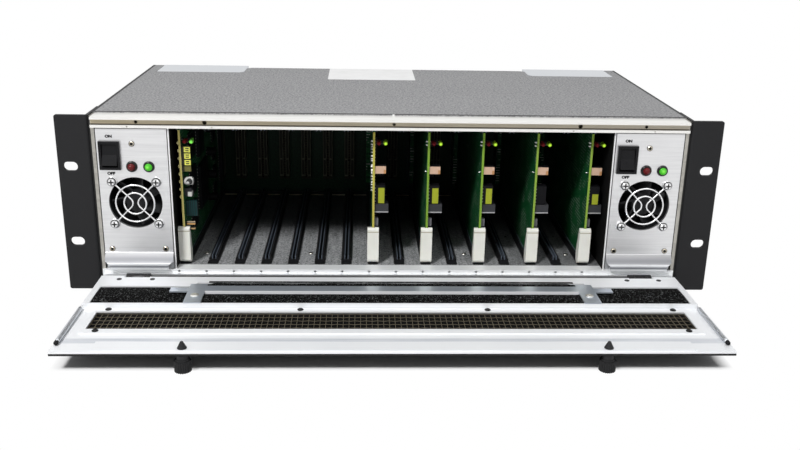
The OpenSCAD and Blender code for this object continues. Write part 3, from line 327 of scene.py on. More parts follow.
# %% Side panels and top rail
def side_sheet():
    """Plated sheet, darker where the front strip meets the ear and the module."""
    f = Finish("zinc side sheet")
    x, y, _ = f.axes()
    flake = f.add("ShaderNodeSeparateColor", {}, {0: f.cells(0.35, out=1)})
    cloud = f.noise(0.08)
    plain = f.blend((flake * 0.5 + cloud * 0.6).within(), (0.50, 0.48, 0.44), (0.34, 0.33, 0.30))
    at_ear, at_module, strip_y = (216.3, 219), (212, 213.9), (-3, 1.2)
    line = inside(abs(x), *at_ear, 0.3) | inside(abs(x), *at_module, 0.3)
    line = line * inside(y, *strip_y, 0.2)
    return f.done(f.blend(line, plain, (0.02, 0.02, 0.02)), flake * 0.12 + 0.4,
                  f.bump(f.noise(1.2), 0.02), Metallic=0.8)


def top_rail_sheet():
    """Bright rail. The groove's bottom is tan, greyer to the right, with a dark line below it."""
    f = Finish("top rail aluminium")
    x, y, z = f.axes()
    lines = f.noise(1.0, (0.03, 2.5, 2.5), detail=3.0)
    bright = f.blend(lines, (0.80, 0.79, 0.76), (0.93, 0.92, 0.89))
    groove_z, shade_z = (125.7, 129.9), (125.3, 126.5)
    left, width = -217, 434
    across = ((x - left) * (1 / width)).within()
    tan = f.blend(across, (0.40, 0.33, 0.20), (0.36, 0.34, 0.30))
    tan = f.blend((lines * 1.6 - 0.4).within(), tan, (0.62, 0.55, 0.42))
    groove = inside(z, *groove_z, 0.2) * above(y, -1.7, 0.2)
    shade = inside(z, *shade_z, 0.3) * above(y, -1.95, 0.1)
    colour = f.blend(groove, bright, tan)
    return f.done(f.blend(shade, colour, (0.10, 0.09, 0.07)), lines * 0.15 + 0.28, f.bump(lines, 0.012),
                  Metallic=0.5)


side_finish = side_sheet()
top_rail_finish = top_rail_sheet()

# %% [markdown]
# The door is nearly white with a band of darker lines, painted shade of a shallow step near its free
# edge. The foam laps over a narrow strip of its flange, so the door's finish paints that strip like foam.
# The bar over the foam mirrors the dark cage, and its bluish tint is painted reflection. The walls at the
# cage's ends are black with a pale front edge.

# %% Door, bar and cage walls
def lit_foam_speckle(f, dark, light):
    """Grey specks where a fine noise is highest, a painted highlight as of light caught by foam cell
    walls. Gives the noise and the colour.
    """
    fleck = f.noise(0.75, detail=3.0, rough=0.7)
    return fleck, f.blend((fleck * 7.0 - 3.7).within(), dark, light)


def door_sheet():
    """Nearly white sheet with rolling lines, a band of blue-grey lines near the free edge that is painted
    shade of a shallow step, a dark folded rear edge, and in the middle a strip of the flange that the
    foam laps over."""
    f = Finish("bright door aluminium")
    x, y, z = f.axes()
    lines = f.noise(1.0, (0.02, 2.5, 2.5), detail=3.0)
    smear = f.noise(0.02)
    bright = f.blend((lines * 0.5 + smear * 0.5).within(), (0.84, 0.86, 0.89), (0.96, 0.965, 0.97))
    step_shade_y, step_shade_z, lap_y, lap_z = (-114.5, -107.5), (9.0, 10.6), (-23.0, -19.7), 13.9
    fold_y, fold_x = (-11.6, -9.2), 196
    # The band of blue-grey lines is painted shade of a shallow step near the door's free edge.
    step_shade = inside(y, *step_shade_y, 1.6) * inside(z, *step_shade_z, 0.3) * (lines * 2.4 - 0.7).within()
    bright = f.blend(step_shade, bright, (0.46, 0.49, 0.55))
    # The foam's grey speckle is painted highlight.
    foam = lit_foam_speckle(f, (0.004, 0.004, 0.004), (0.24, 0.25, 0.25))[1]
    lap = inside(y, *lap_y, 0.3) * inside(x, -BAR_HALF, BAR_HALF, 0.3) * above(z, lap_z, 0.2)
    bright = f.blend(lap, bright, foam)
    rear = inside(y, *fold_y, 0.4) * inside(abs(x), -1, fold_x, 0.5)
    return f.done(f.blend(rear, bright, (0.05, 0.05, 0.055)), lines * 0.12 + smear * 0.1 + 0.36,
                  f.bump(lines, 0.012), Metallic=0.15)


def clip_bar_sheet():
    """Bright sheet with a bluish tint that paints its reflection of the dark cage, with a white line
    along its folded front edge.
    """
    f = Finish("clip bar aluminium")
    x, y, _ = f.axes()
    lines = f.noise(1.0, (0.03, 2.5, 2.5), detail=3.0)
    # The bluish tint is painted reflection of the dark cage.
    sheet = f.blend(lines, (0.50, 0.56, 0.64), (0.74, 0.79, 0.86))
    fold_y = (-42.2, -40.6)
    fold = inside(y, *fold_y, 0.3) * inside(abs(x), -1, BAR_HALF, 0.3)
    return f.done(f.blend(fold, sheet, (0.95, 0.96, 0.98)), lines * 0.12 + 0.26, f.bump(lines, 0.012),
                  Metallic=0.7 - fold * 0.6)


def cage_wall():
    """Walls between the cage and the modules: black paint, pale on the narrow front edge."""
    f = Finish("dark cage wall")
    _, y, _ = f.axes()
    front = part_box("partitions")[0][1] / MM
    grain = f.noise(1.4, detail=3.0)
    paint = f.blend(grain, (0.004, 0.004, 0.004), (0.009, 0.009, 0.009))
    pale_edge = inside(y, front - 1, front + 0.5, 0.2)
    return f.done(f.blend(pale_edge, paint, (0.86, 0.86, 0.86)), grain * 0.2 + 0.55, f.bump(grain, 0.02),
                  Specular_IOR_Level=0.05)


tray_finish = door_sheet()
clip_bar_finish = clip_bar_sheet()
wall_finish = cage_wall()

# %% [markdown]
# The strip that carries the hinges is bright and scratched, but its two fixed knuckles are black. The
# door's screws are black as well, apart from the two that hold the clips.

# %% Hinge strip and door screws
def hinge_strip_sheet():
    """Bright strip with small scratches, and black on the two fixed knuckles."""
    f = Finish("hinge strip aluminium")
    x, y, _ = f.axes()
    lines = f.noise(1.0, (0.04, 2.5, 2.5), detail=3.0)
    fleck = f.noise(0.5, detail=4.0, rough=0.8)
    bright = f.blend((fleck * 3 - 1.6).within(), (0.90, 0.91, 0.92), (0.45, 0.47, 0.50))
    half_knuckle, knuckle_y = 4.6, (-12, -3.9)
    knuckle = inside(abs(x), HINGE_X - half_knuckle, HINGE_X + half_knuckle, 0.2)
    knuckle = knuckle * inside(y, *knuckle_y, 0.2)
    return f.done(f.blend(knuckle, bright, (0.012, 0.012, 0.013)), lines * 0.15 + 0.25,
                  f.bump(lines, 0.012), Metallic=0.7)


def door_screw_steel():
    """Black oxide on the hinge and frame screws, bright zinc on the two that hold the clips."""
    f = Finish("door screw steel")
    _, y, _ = f.axes()
    haze = f.noise(0.5, detail=3.0)
    clips_y = (-53, -26)
    bright = inside(y, *clips_y, 1.0)
    return f.done(f.blend(bright, (0.012, 0.012, 0.012), (0.74, 0.73, 0.69)), haze * 0.15 + 0.3,
                  f.bump(haze, 0.01), Metallic=bright * 0.9, Specular_IOR_Level=0.2)


strip_finish = hinge_strip_sheet()
door_screw_finish = door_screw_steel()

# %% [markdown]
# The cover's paint is coarser than the ears', and the photograph shows each edge of the cover as a thin
# black line. Along the front this line, and the dark fold below it, are painted shade of the gap above
# the top rail. The front edge also has one small white tick where its middle is marked.

# %% Cover paint
def cover_paint():
    """Grey texture paint with a dark line along the front and side edges of the top, and a white tick.
    The front line and the dark fold below the top are painted shade of the gap above the rail.
    """
    f = Finish("grey cover paint")
    x, y, z = f.axes()
    grain = f.noise(0.62, detail=4.0, rough=0.75)
    cloud = f.noise(0.02)
    grey = f.blend((grain * 3.4 - 1.2).within(), (0.13, 0.13, 0.135), (0.44, 0.44, 0.445))
    front_y, fold_z, top_z, line = 12, 131.0, 132.2, 1.3
    # The dark front line and the dark fold below the top are painted shade of the gap above the top rail.
    edge = inside(y, front_y, front_y + 3.4, 0.4) | above(abs(x), BODY_W / 2 - line, 0.4)
    side = f.blend(edge * above(z, top_z, 0.2), grey, (0.012, 0.012, 0.013))
    low = f.blend(above(z, fold_z, 0.3), (0.05, 0.05, 0.052), side)
    tick = inside(x, -0.9, 0.7) * inside(y, front_y, front_y + 2.0)
    return f.done(f.blend(tick, low, (0.8, 0.8, 0.8)), cloud * 0.12 + 0.55, f.bump(grain, 0.12),
                  Specular_IOR_Level=0.25)


cover_finish = cover_paint()

# %% [markdown]
# The fronts of the power modules are brushed along their width, and their bend is where the light
# changes. The brushing is a noise squeezed to long thin streaks: it shifts tone, roughness and bump
# together. Below the bend the ramp is painted darker as shade, and the pull lip gets a band of painted
# shade and a painted highlight along its rim.

# %% Brushed fronts
def brushed_front():
    """Long fine streaks across the front and a wide slow cloud. Below the bend the ramp and a band of the
    lip get painted shade, and the lip's rim a painted highlight.
    """
    f = Finish("brushed module front")
    _, y, z = f.axes()
    streak = f.noise(1.0, (0.05, 6.0, 6.0), detail=4.0, rough=0.6)
    wide = f.noise(1.0, (0.015, 0.5, 0.5))
    tone = (streak * 0.5 + wide * 0.5).within()
    plate = f.blend((tone * 1.8 - 0.4).within(), (0.60, 0.60, 0.61), (0.86, 0.86, 0.865))
    bend_z, lip_z = 29.2, 22.0
    flat = above(z, bend_z, 1.4)
    # The ramp below the bend is painted darker: painted shade.
    ramp_shade = f.blend(inside(z, 22.6, 26.5, 3.0), (0.40, 0.40, 0.41), (0.27, 0.275, 0.29))
    # The dark band on the pull lip is painted shade.
    lip = f.blend(inside(z, 18.6, 20.4, 1.0), (0.74, 0.75, 0.77), (0.22, 0.23, 0.25))
    face = f.blend(above(z, lip_z, 0.3), lip, f.blend(flat, ramp_shade, plate))
    # The bright rim along the top of the lip is a painted highlight.
    rim = inside(z, 21.2, 22.3, 0.2) * above(y * -1, 1.5, 0.5)
    bent = 1 - flat
    return f.done(f.blend(rim, face, (0.80, 0.81, 0.83)),
                  streak * 0.16 + wide * 0.1 + bent * 0.22 + 0.26, f.bump(streak, 0.02),
                  Metallic=0.9 - bent * 0.3)


front_finish = brushed_front()

# %% [markdown]
# The cage floor is dull grainy sheet. The photograph shows it light at the front left, and nearly black
# towards the rear and the right, with one bright line at its rear edge. Lamps alone don't give so quick a
# change, so painted shade grows along y and, more weakly, along x.

# %% Cage floor
def dull_floor():
    """Dull sheet with drag marks left by cards, darkened by painted shade. The shade's share rises from 0
    to 1 over 60 mm towards the rear, and from 0 to 0.6 over 90 mm towards the right."""
    f = Finish("dull cage floor")
    x, y, _ = f.axes()
    grain = f.noise(0.9, detail=4.0, rough=0.65)
    drag = f.noise(0.6, (1.0, 0.05, 1.0))
    mix = (grain * 2.6 + drag * 0.5 - 1.05).within()
    base = f.blend(mix, (0.06, 0.062, 0.065), (0.50, 0.51, 0.52))
    shade_from_y, shade_from_x, line_y = 62, 40, (192.5, 196.2)
    # Painted shade: darker towards the rear and, more weakly, towards the right.
    floor_shade = ((y - shade_from_y) * (1 / 60)).within() | ((x - shade_from_x) * (1 / 90)).within() * 0.6
    base = f.blend(floor_shade, base, f.blend(mix, (0.025, 0.027, 0.028), (0.11, 0.115, 0.115)))
    rear = inside(y, *line_y, 0.4)
    return f.done(f.blend(rear, base, (0.80, 0.70, 0.55)), grain * 0.3 + 0.45, f.bump(grain, 0.06),
                  Specular_IOR_Level=0.2)


floor_finish = dull_floor()

# %% [markdown]
# ## Plastics, plating and small parts
#
# The fan, the guides and the switches are black mouldings, the ejectors are off-white ones, and the
# guard wires, jacks and screws are plated. Moulded plastic has a very fine spark pattern, plating has
# almost no grain but picks up soft dirt, so each gets its own small recipe.

# %% Mouldings and plating
def moulding(name, colour, rough, spark_mm=0.35, depth=0.012, shine=0.16):
    """Moulded plastic with a fine pattern left by the tool."""
    f = Finish(name)
    spark = f.noise(1 / spark_mm)
    cloud = f.noise(0.08)
    light = tuple(min(1.0, c * 1.25 + 0.004) for c in colour)
    return f.done(f.blend(cloud, colour, light), spark * 0.12 + rough, f.bump(spark, depth),
                  Specular_IOR_Level=shine)


def plating(name, colour, rough):
    """Plated wire and screws: bright metal with a little uneven haze."""
    f = Finish(name)
    haze = f.noise(0.5, detail=3.0)
    dark = tuple(c * 0.8 for c in colour)
    return f.done(f.blend(haze, dark, colour), haze * 0.15 + rough, f.bump(haze, 0.01), Metallic=1.0)


fan_finish = moulding("black fan plastic", (0.012, 0.012, 0.013), 0.4)
bezel_finish = moulding("black switch plastic", (0.006, 0.006, 0.007), 0.22, shine=0.14)
tip_finish = moulding("black arm sleeve", (0.010, 0.010, 0.011), 0.45, shine=0.08)
inlet_finish = moulding("black inlet plastic", (0.018, 0.018, 0.019), 0.4)
rubber_finish = moulding("foot rubber", (0.025, 0.025, 0.026), 0.75, 0.6, 0.03)
jack_finish = plating("nickel jack plating", (0.72, 0.71, 0.68), 0.2)
screw_finish = plating("zinc screw plating", (0.62, 0.60, 0.55), 0.3)
arm_finish = plating("prop arm plating", (0.62, 0.64, 0.67), 0.28)
hinge_finish = powder_coat("black hinge steel", (0.018, 0.018, 0.019), 0.38, 0.8, 0.02)
knob_finish = powder_coat("black knob steel", (0.02, 0.02, 0.021), 0.32, 0.9, 0.015)

# %% [markdown]
# The fan guard is one node with its seven screws. The wires are bright; the four large screws are bright
# with a dark cross, which is painted shade in the recess, and a dark rim, and the three small ones have a
# dull, darker head. The distance from each screw's middle finds its rim and hub, and two narrow bands
# make the cross.

# %% Guard wires and screws
FAN_Z, FAN_STEP = 67.8, 16.0
LOW_SCREW, TOP_SCREW = (19.6, 32.0), (0, 112.0)


def guard_wire():
    """Bright plated wire. Both modules share it: u is x measured from the module's own middle."""
    f = Finish("guard wire plating")
    x, y, z = f.axes()
    u = (abs(x) - BAY_X) * (above(x, 0.0, 1.0) * 2 - 1)
    haze = f.noise(0.6, detail=3.0)
    bright = f.blend(haze, (0.78, 0.78, 0.79), (0.95, 0.95, 0.96))
    du, dz = abs(abs(u) - FAN_STEP), abs(abs(z - FAN_Z) - FAN_STEP)
    near = (dz * -1 + 2.5).within() * (du * -1 + 2.5).within()
    # The dark cross is painted shade in the screws' recess.
    cross = ((du * -3 + 2.1).within() | (dz * -3 + 2.1).within()) * near * inside(y, -6, -1.6, 0.2)
    ring = (dot(du, dz, 0, 0, 3.4, 0.3) - dot(du, dz, 0, 0, 2.5, 0.5)).within()
    ring = ring * inside(y, -6, -1.0, 0.2)
    colour = f.blend((cross | ring * 0.8).within(), bright, (0.02, 0.02, 0.02))
    low = inside(abs(u), 16.5, 22.5, 0.2) * inside(z, 29, 35, 0.2)
    small = low | (inside(u, -3, 3, 0.2) * inside(z, 109, 115, 0.2))
    hub = dot(abs(u), z, *LOW_SCREW, 1.1, 0.5) | dot(u, z, *TOP_SCREW, 1.1, 0.5)
    rim = dot(abs(u), z, *LOW_SCREW, 1.9, 0.3) | dot(u, z, *TOP_SCREW, 1.9, 0.3)
    colour = f.blend(small, colour, f.blend(rim, (0.05, 0.045, 0.04), (0.50, 0.46, 0.38)))
    return f.done(f.blend(hub, colour, (0.015, 0.015, 0.015)), haze * 0.12 + 0.16, f.bump(haze, 0.01),
                  Metallic=0.9)


wire_finish = guard_wire()

# %% [markdown]
# The ejectors are off-white levers. The real ones have a thin step below their top that collects shade,
# which is a beige line across the front, so their finish draws that line at its height.

# %% Ejectors
def ejector_plastic():
    """Off-white plastic, yellowed a little in clouds, with a beige line at the lever's step."""
    f = Finish("white ejector plastic")
    _, _, z = f.axes()
    cloud = f.noise(0.12)
    body = f.blend(cloud, (0.80, 0.78, 0.70), (0.90, 0.88, 0.81))
    step_z = (42.0, 42.8)
    step = inside(z, *step_z, 0.3)
    return f.done(f.blend(step, body, (0.48, 0.43, 0.33)), cloud * 0.1 + 0.36,
                  f.bump(f.noise(2.5), 0.01), Subsurface_Weight=0.05)


ejector_finish = ejector_plastic()

# %% [markdown]
# The card guides are black too, but light catches the lips of their grooves as thin bluish lines, so
# the guide's finish has a lighter blue-grey stripe on each of the two lips.

# %% Guides
def guide_plastic():
    """Black guides whose groove lips shine blue-grey: a stripe on each side of the groove."""
    f = Finish("black guide plastic")
    x, _, z = f.axes()
    spark = f.noise(3.0)
    across, groove_z = slot_place(x), 17.3
    lip = inside(across, 8.6, 9.3, 0.3) | inside(across, 11.0, 11.7, 0.3)
    high = above(z, groove_z, 0.3)
    return f.done(f.blend(lip * high, (0.010, 0.010, 0.011), (0.10, 0.12, 0.15)), spark * 0.1 + 0.34,
                  f.bump(spark, 0.01), Specular_IOR_Level=0.2)


guide_finish = guide_plastic()

# %% [markdown]
# The lamps are a black collar with a coloured lens. The left lamp of each module is a dark red one that
# is off, and the right one is lit green. One finish can do both, because it knows where it is: the lens
# is a small circle round each lamp's axis, and the side of the middle between them picks the colour.

# %% Lamps
RED_AT, GREEN_AT, LENS_R = -1.0, 11.2, 2.7


def lamp_plastic(name, bay_x):
    """Collar, dark red lens and lit green lens by the distance from each lamp's axis."""
    f = Finish(name)
    x, _, z = f.axes()
    red = dot(x, z, bay_x + RED_AT, LAMP_Z, LENS_R, 0.15)
    green = dot(x, z, bay_x + GREEN_AT, LAMP_Z, LENS_R, 0.15)
    core = dot(x, z, bay_x + 10.9, LAMP_Z + 0.5, 0.5, 2.4)
    first = f.blend(red, (0.006, 0.006, 0.006), (0.13, 0.008, 0.010))
    base = f.blend(green, first, (0.05, 0.28, 0.02))
    glow = f.blend(core, (0.03, 0.30, 0.01), (0.32, 0.95, 0.10))
    return f.done(base, 0.2, f.bump(f.cells(1.6), 0.02), Specular_IOR_Level=0.18,
                  Emission_Color=f.blend(green, (0, 0, 0), glow), Emission_Strength=0.9,
                  Coat_Weight=0.12)


lamp_finish = {side: lamp_plastic(f"{side} lamp plastic", s * BAY_X) for side, s in SIDES}

# %% [markdown]
# ## The circuit boards
#
# A board seen edge-on is a yellow-green strip of glass laminate, and its face is green lacquer over
# copper tracks, with rows of solder points. The components standing on it are blocks in the solids; the
# finish paints each one from a short table of places, so the yellow relay, the dark chips and the two
# lamps near the top edge get their colours without more geometry.

# %% Board finish
BOARD_Y, HALF_BOARD, PIN_STEP = 12.0, 0.8, 2.54
RED_U, GREEN_U, BOARD_LAMP_Z = 3.7, 8.6, 111.0
DARK_RED, DEEP_RED = (0.20, 0.012, 0.014), (0.16, 0.010, 0.014)


def pin_dots(a, b, radius):
    """Round dots on a square net, one in the middle of each step."""
    return dot(a % PIN_STEP, b % PIN_STEP, PIN_STEP / 2, PIN_STEP / 2, radius, 0.2)


def board_finish(name, board_x, edge_colour, parts, red, green, glow, rounds=()):
    """Lacquer with tracks, and a painted patch for each part: (u low, u high, y low, y high, z low,
    z high, colour), u being the height off the board. rounds holds the round ones: (u, z, radius,
    colour)."""
    f = Finish(name)
    x, y, z = f.axes()
    u = x - board_x
    tracks = f.cells(0.45, (0.01, 1.0, 1.0), "DISTANCE_TO_EDGE")
    lacquer = f.blend(inside(tracks, 0.0, 0.1, 0.05), (0.004, 0.050, 0.016), (0.012, 0.105, 0.030))
    solder = pin_dots(y, z, 0.42) * above(f.noise(0.09), 0.53, 0.04)
    face = f.blend(solder, lacquer, (0.55, 0.56, 0.52))
    on_edge = inside(y, BOARD_Y - 0.5, BOARD_Y + 0.12, 0.1)
    on_edge = on_edge * inside(u, -HALF_BOARD - 0.05, HALF_BOARD + 0.05, 0.05)
    fibre = f.noise(2.0, (1.0, 1.0, 0.3))
    strip = f.blend(fibre, tuple(c * 0.72 for c in edge_colour), edge_colour)
    colour = f.blend(on_edge, face, strip)
    tall = above(u, HALF_BOARD + 0.1, 0.1)
    pins = rows(z, 0, PIN_STEP, 0.7, 0.2) * inside(u, HALF_BOARD, 1.6, 0.2)
    chip = f.blend(pins, (0.005, 0.005, 0.006), (0.3, 0.3, 0.28))
    colour = f.blend(tall, colour, chip)
    for low_u, high_u, low_y, high_y, low_z, high_z, paint in parts:
        here = inside(y, low_y, high_y) * inside(z, low_z, high_z) * inside(u, low_u, high_u)
        colour = f.blend(here, colour, paint)
    for at_u, at_z, radius, paint in rounds:
        here = dot(u, z, at_u, at_z, radius, 0.2) * inside(y, 6, 26) * tall
        colour = f.blend(here, colour, paint)
    front = inside(y, 6, 18)
    for at_u, paint in ((RED_U, red), (GREEN_U, green)):
        colour = f.blend(dot(u, z, at_u, BOARD_LAMP_Z, 1.7, 0.1) * front, colour, paint)
    light = dot(u, z, GREEN_U, BOARD_LAMP_Z, 1.0, 0.9) * front
    return f.done(colour, fibre * 0.1 + 0.36, f.bump(tracks, 0.03), Specular_IOR_Level=0.1,
                  Emission_Color=f.blend(light, (0, 0, 0), glow), Emission_Strength=0.9)


# %% [markdown]
# The five cards are alike, and their laminate edges differ a little in tone. Each has two lamps in a
# holder, a tan block and a black chip with a grey line, and four of them have a yellow relay with a
# lighter patch on its front, which is a painted highlight. One table serves them all, and only the relay
# changes with the number.

# %% The cards' boards
YELLOW, LIME, DEEP_LIME = (0.58, 0.52, 0.10), (0.30, 0.46, 0.07), (0.24, 0.42, 0.05)
HOLDER = (0.9, 12.0, 11.0, 20.0, 107.8, 110.2, (0.05, 0.05, 0.052))


def card_parts(number):
    """The parts near the front edge. Card 4 has no yellow relay, and card 5 has a shorter one."""
    relay = {4: None, 5: (64, 72.5)}.get(number, (64.0, 76.4))
    parts = [
        HOLDER,
        (0.9, 9.2, 12.0, 19.5, 87.0, 93.4, (0.62, 0.42, 0.30)),
        (7.4, 9.2, 12.0, 20.0, 87.4, 90.6, (0.52, 0.27, 0.12)),
        (0.9, 12.0, 13.0, 24.0, 56.4, 63.9, (0.045, 0.046, 0.05)),
        (0.9, 12.0, 12.0, 24.0, 57.0, 57.7, (0.5, 0.5, 0.5)),
        (0.9, 5.0, 14.0, 20.0, 45.5, 52.5, (0.16, 0.16, 0.17)),
    ]
    if relay:
        low, high = relay
        parts.append((3.6, 8.2, 11.0, 21.5, low, high, (0.36, 0.40, 0.03)))
        # The lighter patch on the relay's front is a painted highlight.
        parts.append((4.4, 6.4, 11.0, 13.4, low + 2.4, high - 1.8, (0.66, 0.68, 0.20)))
    return parts


card_x = {f"card_{i}": FIRST_BOARD + SLOT_PITCH * (5 + 2 * i) for i in range(1, 6)}
board_finishes = {}
edges = (YELLOW, DEEP_LIME, DEEP_LIME, LIME, LIME)
for number, ((card, at), edge) in enumerate(zip(card_x.items(), edges), 1):
    board_finishes[card] = board_finish(
        f"{card} board lacquer", at, edge, card_parts(number),
        DEEP_RED, (0.20, 0.36, 0.02), (0.55, 0.95, 0.06))
print("card boards at", [round(v, 1) for v in card_x.values()])

# %% [markdown]
# The controller stands in the first place. Below its lamps it carries a small display of three lit yellow
# digits and a dark fourth, then a round trimmer with a small painted highlight, a white block and a
# ribbon. The table starts with the display: each digit is a lit block with two dark bars in it, which
# reads as an eight.

# %% Controller board
LIT, UNLIT, DISPLAY_BODY = (0.74, 0.74, 0.14), (0.17, 0.16, 0.05), (0.035, 0.035, 0.028)
display = [(0.9, 8.1, 11.0, 15.0, 87.6, 107.2, DISPLAY_BODY)]
for low in (102.7, 97.8, 92.9):
    display += [
        (2.8, 7.4, 11.0, 14.6, low, low + 4.0, LIT),
        (3.9, 6.3, 11.0, 14.6, low + 0.8, low + 1.6, DISPLAY_BODY),
        (3.9, 6.3, 11.0, 14.6, low + 2.4, low + 3.2, DISPLAY_BODY),
    ]
display.append((2.6, 7.8, 11.0, 14.6, 88.2, 92.0, UNLIT))
TEAL, RIBBON_STEP = (0.008, 0.045, 0.045), 1.6
ribbon = [(u, u + 0.8, 12.0, 24.0, 51.0, 65.0, TEAL) for u in 1.8 + RIBBON_STEP * np.arange(5)]
controller_parts = [
    HOLDER,
    *display,
    (0.9, 9.2, 12.0, 24.5, 67.0, 75.0, (0.03, 0.03, 0.033)),
    (3.4, 9.2, 12.0, 24.5, 67.0, 71.6, (0.66, 0.66, 0.62)),
    (0.9, 12.2, 16.0, 24.0, 50.5, 65.5, (0.012, 0.020, 0.022)),
    *ribbon,
    (0.9, 9.2, 13.0, 19.0, 41.0, 49.0, (0.02, 0.018, 0.015)),
    (1.6, 9.2, 13.0, 19.0, 42.3, 43.5, (0.50, 0.34, 0.16)),
    (1.6, 9.2, 13.0, 19.0, 45.8, 47.2, (0.62, 0.36, 0.14)),
    (1.6, 9.2, 13.0, 19.0, 47.8, 48.6, (0.56, 0.44, 0.30)),
    (0.9, 9.2, 12.0, 24.0, 76.0, 84.0, (0.03, 0.03, 0.03)),
]
trimmer = (
    (5.0, 80.0, 3.6, (0.66, 0.66, 0.64)),
    (5.4, 80.0, 2.3, (0.03, 0.03, 0.03)),
    # The small pale round is a painted highlight on the trimmer.
    (4.2, 79.0, 1.1, (0.8, 0.8, 0.78)),
)
board_finishes["controller"] = board_finish(
    "controller board lacquer", FIRST_BOARD, (0.80, 0.70, 0.24), controller_parts,
    DARK_RED, (0.25, 0.75, 0.10), (0.20, 0.95, 0.10), trimmer)
print("painted parts on the controller", len(controller_parts) + len(trimmer))

# %% [markdown]
# ## The backplane and its connectors
#
# At the far end of each card place a connector waits for the card. Only its rims catch light, so they are
# painted as dim lighter outlines against the dark board behind, and the contact slot gets painted shade.
# Its contacts are two rows of small gold springs.

# %% Connectors and backplane
def connector_plastic():
    """Dark plastic with rims painted lighter as highlight, painted shade in the contact slot, and gold
    contacts at one pin step.
    """
    f = Finish("connector plastic")
    x, y, z = f.axes()
    across, rim_z, bar_z, front_y = slot_place(x), 34.0, 50.0, 196.3
    slot = inside(across, 9.1, 11.2, 0.2) * above(y, front_y, 0.2)
    gold = slot * rows(z, 32.5, PIN_STEP, 1.1, 0.3)
    off = abs(across - SLOT_PITCH / 2)
    # The lighter rims are painted highlight.
    edge = (above(off, 3.9, 0.3) | inside(off, 1.0, 1.7, 0.2) | inside(z, bar_z, bar_z + 1.4, 0.3)
            | inside(z, rim_z, rim_z + 1.6, 0.3) | above(z, 94.2, 0.3))
    tan = f.blend(f.noise(0.6), (0.070, 0.074, 0.052), (0.120, 0.126, 0.090))
    rim = f.blend(edge * above(z, rim_z, 0.3), (0.016, 0.016, 0.011), tan)
    # The darker contact slot is painted shade.
    base = f.blend(slot, rim, (0.008, 0.007, 0.005))
    return f.done(f.blend(gold, base, (0.045, 0.040, 0.022)), 0.5, f.bump(f.noise(2.0), 0.01),
                  Specular_IOR_Level=0.1)


def backplane_lacquer():
    """Dark green lacquer with tracks and rows of pins between the connectors."""
    f = Finish("backplane lacquer")
    x, y, z = f.axes()
    tracks = f.cells(0.4, (1.0, 0.01, 1.0), "DISTANCE_TO_EDGE")
    pins, back_y = pin_dots(x, z, 0.4), 207.5
    base = f.blend(inside(tracks, 0.0, 0.08, 0.05), (0.002, 0.014, 0.006), (0.004, 0.026, 0.011))
    return f.done(f.blend(pins * above(y, back_y), base, (0.5, 0.5, 0.46)), 0.45, f.bump(tracks, 0.02),
                  Specular_IOR_Level=0.12)


connector_finish = connector_plastic()
backplane_finish = backplane_lacquer()

# %% [markdown]
# ## Dressing the solids
#
# Each solid's mesh stays as it came, and only its material slots change. One table names the finish of
# every solid, so what has been forgotten is easy to list. Four solids aren't in it, because new pieces
# take their places further on.

# %% Give every solid its finish
FINISH_OF = {
    "side_panel_left": side_finish, "side_panel_right": side_finish, "rear_rails": inner_finish,
    "partitions": wall_finish, "chassis_screws": knob_finish, "door_screws": door_screw_finish,
    "rack_ear_left": ear_finish, "rack_ear_right": ear_finish, "door_skin": pan_finish,
    "base_pan": pan_finish, "top_cover": cover_finish, "top_rail": top_rail_finish,
    "bottom_rail": low_rail_finish, "hinge_strip": strip_finish, "door_tray": tray_finish,
    "filter_retainer": clip_bar_finish, "mesh_frame": tray_finish,
    "rear_panel": rear_finish, "card_guides": guide_finish,
    "mains_inlets": inlet_finish, "cage_floor": floor_finish, "backplane": backplane_finish,
    "slot_connectors": connector_finish, "coax_jacks": jack_finish, "feet": rubber_finish,
    "door_hinges": hinge_finish, "thumbscrew_left": knob_finish, "thumbscrew_right": knob_finish,
}
for side, _ in SIDES:
    FINISH_OF |= {
        f"psu_{side}_faceplate": front_finish, f"psu_{side}_case": case_finish,
        f"psu_{side}_switch_bezel": bezel_finish, f"psu_{side}_rocker": bezel_finish,
        f"psu_{side}_lamps": lamp_finish[side], f"psu_{side}_fan_housing": fan_finish,
        f"psu_{side}_fan_rotor": fan_finish, f"psu_{side}_finger_guard": wire_finish,
    }
for card, finish in board_finishes.items():
    FINISH_OF[f"{card}_board"] = finish
    FINISH_OF[f"{card}_ejector"] = ejector_finish


def wear(node, finish):
    """Puts the finish in the solid's material slots, and leaves its mesh alone."""
    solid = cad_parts[node]
    if not solid.material_slots:
        solid.data.materials.append(finish)
    for holder in solid.material_slots:
        holder.material = finish


for node, finish in FINISH_OF.items():
    wear(node, finish)
REMADE = {"foam_filter", "intake_mesh", "door_arms", "arm_tips"}
print("solids without a finish:", sorted(set(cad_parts) - set(FINISH_OF) - REMADE))

# %% [markdown]
# ## Making surfaces from arrays
#
# The new pieces are worked out with numpy as whole arrays. Each is a grid of points: one direction goes
# along the piece and the other round it. The helpers below join neighbours of the grid into faces, close
# it round the piece, and put a cap on each end.

# %% Grid to mesh
def grid_faces(n_along, n_round):
    """Four corners for each cell of a grid of points stored ring after ring. Each ring closes."""
    row = np.arange(n_along - 1)[:, None] * n_round
    j = np.arange(n_round)[None, :]
    j2 = (j + 1) % n_round
    corners = [row + j, row + j2, row + n_round + j2, row + n_round + j]
    return np.stack(np.broadcast_arrays(*corners), -1).reshape(-1, 4)


def caps(n_along, n_round, first=0):
    """One face over each end of a tube."""
    ring = np.arange(n_round)
    return [(ring[::-1] + first).tolist(), (ring + (n_along - 1) * n_round + first).tolist()]


